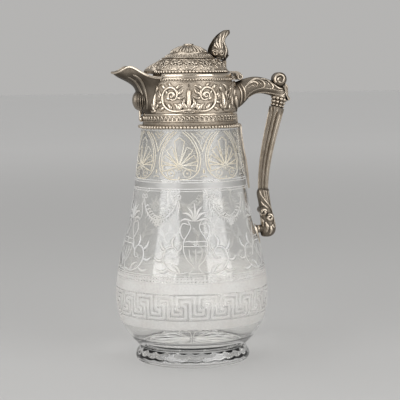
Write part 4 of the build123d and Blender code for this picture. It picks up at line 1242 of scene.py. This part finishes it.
# %% Acanthus on the arch
arch_lines = [
    (sweep([(50.4, 222.0), (54.8, 224.4), (58.8, 226.0), (64.0, 226.8), (70.2, 226.0), (76.3, 224.6),
            (80.4, 224.4), (83.2, 226.8)], 6), [0.49, 0.7, 0.74, 0.74, 0.74, 0.57]),
    (sweep([(47.4, 220.6), (52.0, 226.2), (57.6, 229.4), (64.0, 230.4), (70.6, 229.6), (77.0, 228.0),
            (82.0, 229.0)], 6), [0.33, 0.41, 0.45, 0.45, 0.41, 0.33]),
    # the ring of leaf that ties the root
    (sweep([(44.2, 234.2), (46.6, 229.6), (47.6, 224.6), (47.2, 219.6)], 6), [0.66, 1.2, 1.2, 0.74]),
    (sweep([(41.6, 233.0), (43.8, 228.0), (44.4, 222.6), (43.6, 217.0)], 6), [0.57, 0.98, 0.98, 0.57]),
    # three curling lobes along the back of the arch
    (sweep([(46.2, 228.4), (48.4, 232.6), (52.0, 235.4), (56.0, 236.0), (58.4, 234.0), (57.4, 231.6)],
           6), [0.47, 0.9, 1.2, 1.1, 0.9, 0.34]),
    (sweep([(50.4, 230.6), (53.6, 233.0), (55.6, 231.8)], 6), [0.33, 0.74, 0.33]),
    (sweep([(52.0, 236.4), (57.0, 238.6), (61.6, 237.6), (64.4, 234.4), (64.2, 231.4), (61.6, 230.6)],
           6), [0.4, 0.9, 1.2, 1.1, 0.8, 0.27]),
    (sweep([(58.4, 235.6), (60.8, 234.8), (61.6, 232.8)], 6), [0.33, 0.74, 0.33]),
    (sweep([(60.0, 238.4), (65.6, 238.4), (69.6, 236.0), (72.0, 232.4), (71.4, 229.8), (68.8, 229.4)],
           6), [0.4, 0.9, 1.1, 1.1, 0.74, 0.27]),
    (sweep([(65.2, 236.2), (67.8, 234.6), (68.6, 232.2)], 6), [0.33, 0.74, 0.33]),
    (sweep([(69.8, 236.6), (73.2, 233.4), (76.6, 230.6), (81.6, 229.8)], 6), [0.41, 1.1, 1.1, 0.49]),
    (sweep([(44.6, 216.2), (43.4, 213.6)]), [0.74, 0.33]),
]
acanthus = both_sides("arch_acanthus", arch_lines, "handle_arch", relief=1.2, sink=0.1)
dress(acanthus, "jug", silver_chased, "silver_chased")

# %% The shoulder's scroll and outer leaf
scroll_lines = [
    (coil((78.1, 237.8), 4.9, 1.4, 215, -1.35, 40), [1.15, 1.05, 0.9, 0.75, 0.8]),
]
scroll = both_sides("shoulder_scroll", scroll_lines, "handle_volute", relief=0.9)
dress(scroll, "jug", silver_chased, "silver_chased")
leaf_body = strokes("outer_leaf_body", [
    (sweep([(80.0, 234.6), (83.0, 230.6), (84.0, 226.0), (84.6, 221.0)], 6), [1.6, 2.6, 2.4, 1.0]),
], relief=1.5)
leaf_body.data.transform(Matrix.Scale(MM, 4) @ Matrix.Rotation(pi / 2, 4, "X"))
outer_leaf_lines = [
    (sweep([(82.6, 234.0), (85.0, 230.0), (85.4, 225.0), (86.6, 221.2)]), [0.5, 0.9, 0.9, 0.4]),
    (sweep([(82.0, 229.0), (83.2, 225.0), (85.0, 221.4)]), [0.4, 0.7, 0.4]),
]
outer_leaf = join("outer_leaf_ribs", leaf_body,
                  both_sides("outer_leaf_ribs", outer_leaf_lines, "handle_outer_leaf"))
dress(outer_leaf, "jug", silver_chased, "silver_chased")

# %% [markdown]
# ## The beaded capital
# Under the arch the column starts in a capital of three rings of beads. They could be placed
# one by one along the lean. It is easier to turn the capital and to ring its beads upright on
# the jug's own axis, and then to stand the whole on the handle's leaning axis.

# %% The beaded capital
LEAN = Vector((-0.26, 0.0, -1.0)).normalized()
CAPITAL_TOP = Vector((78.6, 0.0, 222.8))
CAPITAL_RINGS = [  # distance down the lean, the ring's radius, the beads' radius and their count
    (1.7, 5.7, 1.55, 11),
    (4.7, 5.1, 1.45, 10),
    (7.7, 4.9, 1.3, 10),
]


def stand_on_lean(piece, distance):
    """Move a piece from the jug's axis to the handle's leaning axis."""
    lean_over = Vector((0, 0, 1)).rotation_difference(LEAN).to_matrix().to_4x4()
    place = (CAPITAL_TOP + LEAN * distance) * MM
    piece.data.transform(Matrix.Translation(place) @ lean_over)
    return piece


capital_rings = []
for distance, radius, size, count in CAPITAL_RINGS:
    first = bead("capital_beads", size, at_radius=radius, height=0.0)
    ring = ring_of("capital_beads", first, count)
    capital_rings.append(stand_on_lean(ring, distance))
capital_body = turn("capital_body", smooth_outline([
    (0.0, -2.0), (5.2, -2.0), (6.0, -0.4), (5.4, 0.6), (5.3, 2.6), (5.9, 3.3), (5.0, 4.0),
    (4.8, 5.6), (5.5, 6.2), (4.7, 7.0), (4.6, 8.6), (5.6, 9.3), (5.0, 9.8), (0.0, 9.8),
], 3), steps=64)
stand_on_lean(capital_body, 0.0)
dress(join("beaded_capital", *capital_rings, capital_body), "jug", silver_chased,
      "silver_chased", "bead_capital")

# %% [markdown]
# ## The fluted column
# The column bows down towards the glass and thins as it goes, with hollow flutes all round. A
# flute cut by a boolean would wander on the bow. So rings of points are set square to a bowed
# middle line, with the flutes already in each ring, and are joined into one closed skin.

# %% The column's middle line
COLUMN_TOP = Vector((76.18, 0.0, 213.5))
COLUMN_FOOT = Vector((63.5, 0.0, 143.5))
TOP_PULL = LEAN * 72.0  # how strongly the line leaves the capital along its lean
FOOT_PULL = Vector((0, 0, -70.0))  # and how strongly it ends upright


def column_place(share):
    """Middle of the bowed column and its direction, from top to foot."""
    a, b, t = COLUMN_TOP, COLUMN_FOOT, share
    place = (a * (2 * t ** 3 - 3 * t ** 2 + 1) + TOP_PULL * (t ** 3 - 2 * t ** 2 + t)
             + b * (3 * t ** 2 - 2 * t ** 3) + FOOT_PULL * (t ** 3 - t ** 2))
    way = (a * (6 * t ** 2 - 6 * t) + TOP_PULL * (3 * t ** 2 - 4 * t + 1)
           + b * (6 * t - 6 * t ** 2) + FOOT_PULL * (3 * t ** 2 - 2 * t))
    return place, way.normalized()


print("half way down, the column's middle is at",
      [round(value, 1) for value in column_place(0.5)[0]])

# %% The column's skin
COLUMN_FLUTES = 12
FLUTE_DEPTH = 0.21  # as a share of the column's radius
FLUTE_BREADTH = 0.8  # a lower power makes the flutes wider and the ribs between them sharper
RADIUS_TOP, RADIUS_FOOT = 6.65, 4.4
THINNING = 1.1  # a power of 1 would thin it evenly
RUN_IN = 1 / 14  # share of the length in which the flutes reach their depth
AROUND, DOWN = 120, 40  # points in a ring, and steps from ring to ring
FLUTE_ANGLE = radians(50)  # a fold sharper than this stays crisp
SIDEWAYS = Vector((0, 1, 0))
column_points = []
for level in range(DOWN + 1):
    share = level / DOWN
    place, way = column_place(share)
    forward = way.cross(SIDEWAYS)
    crown = RADIUS_FOOT + (RADIUS_TOP - RADIUS_FOOT) * (1 - share) ** THINNING
    depth = FLUTE_DEPTH * min(1.0, share / RUN_IN + 0.05)
    for step in range(AROUND):
        angle = 2 * pi * step / AROUND
        radius = crown * (1 - depth * abs(sin(COLUMN_FLUTES / 2 * angle)) ** FLUTE_BREADTH)
        column_points.append((place + (SIDEWAYS * cos(angle) + forward * sin(angle)) * radius) * MM)
column_faces = [tuple(reversed(range(AROUND))), tuple(range(DOWN * AROUND, (DOWN + 1) * AROUND))]
for first in range(0, DOWN * AROUND, AROUND):
    for step in range(AROUND):
        after = (step + 1) % AROUND
        column_faces.append((first + step, first + after, first + AROUND + after,
                             first + AROUND + step))
column = raw_piece("fluted_column", column_points, [], column_faces)
open_whole(column)
close_outward()
bpy.ops.object.shade_smooth_by_angle(angle=FLUTE_ANGLE)
dress(column, "jug", silver_brown, "silver_plain", "handle_column")

# %% [markdown]
# ## The terminal
# The column runs out under a curved blade into a cluster of scrolls and hanging leaves, where
# the handle bears on the glass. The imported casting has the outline, and could be carved. The
# curls are strokes laid on both its sides, as a chaser sharpens a casting.

# %% The terminal
terminal_lines = [
    # the flutes that run on under the blade
    (sweep([(62.6, 145.6), (63.6, 139.0), (65.0, 134.0)]), [0.45, 0.45, 0.3]),
    (sweep([(64.6, 145.6), (65.8, 138.0), (67.2, 131.4)]), [0.5, 0.5, 0.3]),
    (sweep([(66.6, 145.6), (67.9, 137.0), (69.4, 129.2)]), [0.45, 0.45, 0.3]),
    # the blade and the curls under it
    (sweep([(59.2, 144.6), (60.7, 139.2), (64.0, 134.2), (68.0, 129.6), (70.8, 125.4), (72.4, 120.0),
            (72.6, 115.0)], 6), [0.3, 0.6, 0.7, 0.8, 1.0, 1.1, 0.7]),
    (sweep([(60.6, 133.4), (63.2, 130.0), (66.6, 127.2)]), [0.4, 1.2, 0.5]),
    (coil((62.6, 123.6), 3.0, 1.0, 40, 1.15, 24), [1.0, 1.4, 1.3, 1.0]),
    (coil((67.6, 119.4), 3.1, 1.0, 120, -1.15, 24), [1.1, 1.5, 1.3, 1.0]),
    (coil((71.4, 112.6), 2.2, 0.9, 100, -0.9, 18), [0.9, 1.2, 0.9]),
    (sweep([(59.8, 119.6), (61.8, 116.4), (62.2, 111.6)]), [0.6, 1.5, 0.6]),
    (sweep([(64.2, 115.6), (65.8, 111.6), (64.8, 106.6)]), [0.6, 1.7, 0.6]),
    (sweep([(68.4, 112.6), (69.2, 108.8), (67.8, 104.8)]), [0.6, 1.5, 0.5]),
    (sweep([(59.8, 113.4), (58.2, 109.4), (59.8, 105.2)]), [0.6, 1.5, 1.3, 0.5]),
]
terminal_leaves = both_sides("terminal_leaves", terminal_lines, "handle_terminal", relief=1.15,
                             sink=0.05)
dress(terminal_leaves, "jug", silver_chased, "silver_chased")

# %% [markdown]
# ## Leaves at the handle's root
# A plate joins the handle to the collar, and leaves spread over it to both sides. They belong
# to the collar's curve, so they are wrapped round it like the frieze, a little further out.

# %% Leaves at the handle's root
ROOT_FOOT = 211.6
ROOT_PROUD = 1.9  # how far the plate's face stands out from the collar
root_lines = mirrored([
    leaf((5.4, 13.4), (8.6, 8.4), (8.2, 1.8), 2.2),
    leaf((9.4, 14.8), (13.2, 11.0), (13.8, 4.4), 1.9),
    leaf((10.4, 18.0), (14.6, 17.4), (16.6, 12.4), 1.6),
    leaf((8.8, 20.4), (12.0, 23.0), (16.2, 20.6), 1.5),
    leaf((4.6, 22.0), (7.0, 24.4), (10.8, 24.2), 1.3),
    (coil((3.0, 3.6), 2.4, 0.9, 60, -1.2, 20), [0.9, 1.0, 0.7]),
])
root_leaves = strokes("root_leaves", [([(x, y + ROOT_FOOT) for x, y in points], widths)
                                      for points, widths in root_lines], relief=0.9)
wrap(root_leaves, collar_surface(ROOT_PROUD), middle=0.0, at_radius=39.5)
dress(join("root_leaves", root_leaves), "jug", silver_chased, "silver_chased")

# %% [markdown]
# ## Etched bands
# The etcher masks the glass, cuts the pattern in the mask and lets acid bite a white bloom. An
# image on the glass could show it, but this jug carries no images. Every mark is a thin shell
# of white, about a tenth of a millimetre thick, so that it keeps its edge from any side and shows
# through the far wall. Rings are turned. Drawings are made flat with strokes, pressed thin and
# wrapped on the glass.

# %% Rings on the glass
ETCH_OUTSIDE, ETCH_INSIDE = 0.12, 0.02  # where a shell's faces lie outside the glass
LEVEL_STEP = 1.5  # a wide ring has an edge this often, so that it follows the curve


def etched_ring(low, high):
    """A thin white band round the glass between two heights."""
    levels = max(2, int((high - low) / LEVEL_STEP) + 1)
    heights = [low + (high - low) * step / levels for step in range(levels + 1)]
    outside = [(glass_surface(height)[0] + ETCH_OUTSIDE, height) for height in heights]
    inside = [(glass_surface(height)[0] + ETCH_INSIDE, height) for height in reversed(heights)]
    return turn("etched_ring", outside + inside + outside[:1], steps=180)


FINE_RINGS = [(196.9, 197.5), (156.0, 156.6), (154.2, 154.8), (149.0, 149.6), (147.2, 147.7),
              (79.4, 79.8)]
fine_rings = join("etched_rings", *[etched_ring(low, high) for low, high in FINE_RINGS])
dress(fine_rings, "jug", etched_scene, "glass")

# %% Wrapping etched drawings
PRESS_LIFT = 0.04  # raises a stroke's middle off the glass before it is pressed
PRESS_INSIDE, PRESS_OUTSIDE = 0.02, 0.14  # where its two flats then lie


def etch(name, drawing, middle, at_radius, count):
    """Press strokes thin, wrap them on the glass and repeat them round it."""
    pattern = strokes(name, drawing, relief=0.3, roundness=0)
    for vertex in pattern.data.vertices:
        vertex.co.z = min(max(vertex.co.z + PRESS_LIFT, PRESS_INSIDE), PRESS_OUTSIDE)
    wrap(pattern, glass_surface, middle, at_radius)
    return ring_of(name, pattern, count)


# %% [markdown]
# ## Palmettes
# Seven fan-shaped palmettes stand in horseshoe arches just below the collar. Each has seven
# outlined petals, flat at the end like paddles, and the middle one is pointed like a gable.
# They spring from a small knot over two round eyes. Small chevrons fill the spandrels. Seven
# drawings would differ by hand's chance, so there is one unit. It is drawn about its own
# middle line, and only half of most lines is written.

# %% Palmettes
PALMETTES = 7
KNOT = Vector((0.0, 167.6))
LINE = [0.50, 0.50]  # an etched line of even width


def petal(degrees_up, length, width, gable=0.0, droop=0.0):
    """Outline of one petal that leaves the knot; `droop` bends its end down."""
    along = Vector((cos(radians(degrees_up)), sin(radians(degrees_up))))
    across = Vector((-along.y, along.x))

    def place(reach, side):
        share = reach / length
        return tuple(KNOT + along * reach + across * side + Vector((0, -droop * share * share)))

    half = width / 2
    up_side = [(1.6, 0.25), (length * 0.35, half * 0.42), (length * 0.7, half * 0.78),
               (length, half)]
    tip = [(length + gable, 0.0)] if gable else []
    down_side = [(reach, -side) for reach, side in reversed(up_side)]
    return [place(reach, side) for reach, side in up_side + tip + down_side], LINE


palmette_lines = [petal(90, 20.6, 8.6, gable=3.0)]
for degrees_up, length, width, droop in ((58.5, 17.2, 5.6, 0.0), (28, 15.4, 5.5, 0.4),
                                         (0, 14.0, 5.2, 1.6)):
    palmette_lines += mirrored([petal(degrees_up, length, width, droop=droop)])
palmette_lines += mirrored([
    (sweep([(0.9, 157.0), (7.4, 157.5), (11.6, 159.6), (15.0, 163.0), (16.8, 167.4), (17.5, 173.0),
            (17.0, 178.6), (15.0, 184.2), (12.4, 189.0), (8.8, 193.2), (4.9, 196.4)]), LINE),
    (sweep([(13.6, 164.4), (14.9, 168.2), (15.5, 173.0), (15.0, 178.5), (13.1, 184.1),
            (10.0, 189.0), (6.6, 192.6), (2.4, 196.0)]), LINE),
    (coil((6.6, 162.0), 3.0, 3.0, 0, 1.0, 18), [0.34, 0.34]),
    (coil((6.6, 162.0), 0.6, 0.3, 0, 1.0, 8), [0.4, 0.4]),
    ([(-0.4, 168.4), (3.0, 165.2)], [0.36, 0.30]),
    ([(-0.6, 166.4), (2.0, 164.0)], [0.36, 0.30]),
    (sweep([(19.7, 179.6), (17.4, 185.8), (14.2, 191.0), (9.6, 195.4)]), LINE),
    (sweep([(19.7, 190.4), (17.4, 193.2), (14.6, 195.2)]), [0.34, 0.34]),
    (sweep([(19.7, 193.6), (18.3, 195.3), (17.0, 196.2)]), [0.3, 0.3]),
])
palmette_lines += [
    ([(0, 156.9), (0, 158.2), (0, 159.6)], [0.3, 0.85, 0.3]),
    ([(19.7, 161.6), (19.7, 163.6), (19.7, 165.6)], [0.3, 0.95, 0.3]),
    (sweep([(17.0, 159.0), (19.7, 160.0), (22.4, 159.0)]), [0.3, 0.36, 0.3]),
]
palmettes = etch("etched_palmettes", palmette_lines, facing(-11.3), at_radius=43.9,
                 count=PALMETTES)
dress(palmettes, "jug", etched_line, "glass")

# %% [markdown]
# ## Urns and garlands
# The wide zone on the body carries a faint frieze. Five urns with flowers stand between
# scrolls, and garlands hang from ribbons over them, all of them stock motifs of classical
# ornament. Solid silhouettes could fill the zone, but they would hide the glass. So the frieze
# is drawn in lines and leaves, and its bloom is thinner than on the palmettes.

# %% Flowers
def flower(middle, reach, petals):
    """A small rosette with a round heart."""
    x, y = middle
    lines = []
    for number in range(petals):
        way_x = reach * cos(2 * pi * number / petals)
        way_y = reach * sin(2 * pi * number / petals)
        points = [(x + share * way_x, y + share * way_y) for share in (0.3, 0.65, 1.0)]
        lines.append((points, [0.14 * reach, 0.36 * reach, 0.2 * reach]))
    heart = [(x - 0.05, y), (x, y), (x + 0.05, y)]
    lines.append((heart, [0.2 * reach, 0.34 * reach, 0.2 * reach]))
    return lines


# %% Urns and garlands
URNS = 5
GARLAND_LEAVES = 7
urn = mirrored([
    (sweep([(5.4, 82.0), (3.2, 84.0), (2.2, 87.4), (6.6, 92.4), (9.6, 100.0), (9.4, 107.6),
            (5.6, 114.0), (3.8, 119.0), (6.2, 123.6)]), [0.5, 0.55, 0.55, 0.5]),
    (sweep([(5.0, 120.4), (10.6, 121.4), (13.0, 116.0), (10.6, 110.0), (9.2, 109.4)]),
     [0.4, 0.6, 0.6, 0.4]),
    (sweep([(1.8, 89.4), (4.6, 95.0), (5.2, 100.6)]), [0.3, 0.45, 0.3]),
    leaf((0.6, 124.0), (5.6, 129.0), (11.6, 130.0), 1.5),
    leaf((0.4, 124.0), (3.0, 131.0), (7.4, 135.4), 1.4),
    leaf((3.0, 123.6), (9.0, 125.0), (13.4, 122.8), 1.2),
    (sweep([(6.0, 83.0), (13.0, 81.4), (21.0, 84.6), (26.0, 92.4), (24.0, 100.6), (17.6, 102.4),
            (14.4, 97.6), (17.0, 93.0), (20.4, 94.4)]), [0.6, 0.8, 0.9, 0.8, 0.6, 0.4]),
    leaf((12.0, 81.6), (14.8, 86.6), (19.6, 88.8), 1.5),
    leaf((21.6, 85.0), (26.0, 82.4), (31.4, 84.0), 1.5),
    leaf((26.0, 92.6), (30.2, 91.4), (34.0, 94.4), 1.4),
    leaf((24.6, 99.6), (28.2, 102.6), (29.6, 107.6), 1.4),
    leaf((18.0, 102.6), (19.4, 107.0), (17.4, 111.4), 1.4),
    leaf((14.6, 98.6), (11.6, 101.6), (11.8, 105.6), 0.9),
    (sweep([(16.4, 141.0), (20.0, 132.0), (27.0, 126.0), (35.2, 124.0)]), [0.5, 0.8, 0.9, 1.0]),
    (sweep([(16.4, 142.0), (14.0, 136.0), (15.4, 129.4), (14.2, 123.8)]), [0.5, 0.8, 0.7, 0.3]),
    (coil((14.2, 142.6), 2.0, 1.2, 0, 1.0, 12), [0.5, 0.6]),
    (coil((18.8, 142.6), 2.0, 1.2, 180, -1.0, 12), [0.5, 0.6]),
])
for number in range(GARLAND_LEAVES):
    x = 19.5 + number * 2.5
    y = 133.4 - 9.4 * (1 - (1 - number / 6.6) ** 2)
    urn += mirrored([leaf((x, y), (x + 1.6, y - 2.6), (x + 0.6, y - 5.0), 1.0),
                     leaf((x, y + 0.8), (x + 2.8, y + 2.2), (x + 5.0, y + 1.2), 0.8)])
urn += [
    ([(-6.2, 123.6), (0, 123.6), (6.2, 123.6)], [0.5, 0.6, 0.5]),
    ([(-5.6, 81.6), (0, 81.6), (5.6, 81.6)], [0.5, 0.6, 0.5]),
    ([(-9.3, 103.2), (0, 103.2), (9.3, 103.2)], [0.4, 0.45, 0.4]),
    ([(-9.3, 107.0), (0, 107.0), (9.3, 107.0)], [0.4, 0.45, 0.4]),
    ([(0, 89.0), (0, 95.0), (0, 101.0)], [0.3, 0.5, 0.3]),
    leaf((0, 124.0), (0.4, 131.0), (0, 138.0), 1.6),
    *flower((0, 105.1), 1.9, 6),
    *flower((35.2, 121.6), 3.4, 8),
]
frieze = etch("etched_frieze", urn, facing(4.0), at_radius=56.0, count=URNS)
dress(frieze, "jug", etched_scene, "glass")

# %% [markdown]
# ## Key border
# The belly carries a Greek key: a clear line that winds through a frosted band, with hooks
# from both edges between its turns. Strokes would have to draw the frost round the line. So it
# is woven from one unit, written below like a weaver's draft in which a mark is frost and a
# dot is clear. Frosted strips and clear lines have their own widths, so the draft stays small.
# The rows of clear dashes above it are woven too.

# %% Weaving frost from a draft
SQUARE_WELD = 0.01 * MM  # joins squares of frost that touch


def woven(name, draft, column_widths, row_heights, top, middle, at_radius, count):
    """A frosted band round the glass, from a draft whose rows run from the top down."""
    points, faces = [], []
    high = top
    for marks, row_height in zip(draft, row_heights):
        left = 0.0
        for mark, width in zip(marks, column_widths):
            if mark == "#":
                start = len(points)
                points += [(x, y, ETCH_OUTSIDE) for x, y in (
                    (left, high - row_height), (left + width, high - row_height),
                    (left + width, high), (left, high),
                )]
                faces.append(tuple(range(start, start + 4)))
            left += width
        high -= row_height
    unit = wrap(raw_piece(name, points, [], faces), glass_surface, middle, at_radius)
    ring = ring_of(name, unit, count)
    open_whole(ring)
    bpy.ops.mesh.remove_doubles(threshold=SQUARE_WELD)
    bpy.ops.object.mode_set(mode="OBJECT")
    thicken(ring, ETCH_OUTSIDE - ETCH_INSIDE, offset=-1.0)
    print(name, "repeats", count, "times, from", round(high, 2), "to", top, "mm")
    return ring


# %% Key border
KEY_UNITS = 22
CLEAR, FROST_UP = 0.95, 2.63  # the clear line's width, and the height of a strip of frost
KEY_TOP = 63.6
KEY_RADIUS = max(radius for radius, height in GLASS_SIDE)
FROST_LOW, FROST_HIGH = 34.5, 72.6  # where the plain frost under and over the key ends
KEY_DRAFT = [
    "####.#####",
    "...#.#....",
    "##.#.#.###",
    ".#.#.#.#..",
    ".#.#.#.###",
    ".#.#.#...#",
    ".#.#.###.#",
    ".#.#...#.#",
    ".#.#####.#",
    ".#.......#",
    ".#########",
]
frost_across = 2 * pi * KEY_RADIUS / KEY_UNITS / 5 - CLEAR
key = woven("etched_key", KEY_DRAFT, [CLEAR, frost_across] * 5, [FROST_UP, CLEAR] * 5 + [FROST_UP],
            KEY_TOP, facing(-3.0), KEY_RADIUS, KEY_UNITS)
dress(key, "jug", etched_frost, "glass")

# %% Plain frost and dashes
key_foot = KEY_TOP - 6 * FROST_UP - 5 * CLEAR
plain_bands = join("etched_plain_bands", etched_ring(FROST_LOW, key_foot - CLEAR),
                   etched_ring(KEY_TOP + CLEAR, FROST_HIGH))
dress(plain_bands, "jug", etched_frost, "glass")

DASH_UNITS = 132
DASH_TOP = 78.5
DASH_SHARE = 0.55  # the clear dash's share of each repeat
DASH_DRAFT = ["##", ".#", "##", ".#", "##"]
DASH_ROWS = [0.8, 1.0, 1.8, 1.0, 1.3]
dash_pitch = 2 * pi * KEY_RADIUS / DASH_UNITS
dashes = woven("etched_dashes", DASH_DRAFT,
               [dash_pitch * DASH_SHARE, dash_pitch * (1 - DASH_SHARE)], DASH_ROWS,
               DASH_TOP, facing(0.0), KEY_RADIUS, DASH_UNITS)
dress(dashes, "jug", etched_frost, "glass")

# %% [markdown]
# ## Imported pieces that keep their shape
# Sheet and wire parts whose imported shape is already right keep it, because modelling them
# again would add nothing. Each is given one finish: matted where relief stands on it, darker
# where a brown film of tarnish and painted shade covers it, and polished elsewhere. The cement
# in the collar is plaster.

# %% Imported pieces that keep their shape
KEPT = {
    silver_plain: ["collar_wire_band", "rim_moulding", "lip_wire", "lid_beak",
                   "lid_bezel", "hinge_lug", "handle_drop_bar", "back_lappet"],
    silver_ground: ["mount_collar", "collar_frieze", "collar_dot_band",
                    "handle_root_plate"],
    silver_matt: ["lid_shell"],
    silver_heavy_tarnish_and_shade: ["spout"],
    plaster: ["neck_cement"],
    silver_chased: ["terminal_leaf_plate"],
    silver_fresh: ["spout_drop"],
    silver_brown: ["handle_outer_leaf", "hinge_strap", "thumb_stem"],
    # these finishes carry a heavy brown film, partly tarnish and partly painted shade
    silver_dusky: ["handle_arch", "handle_volute", "handle_terminal", "thumbpiece",
                   "hinge_pin"],
}
for material, names in KEPT.items():
    for name in names:
        coat(nodes[name], material)
print("kept pieces:", sum(len(names) for names in KEPT.values()))

# %% [markdown]
# ## Closing

# %% Closing
print("the jug is dressed")
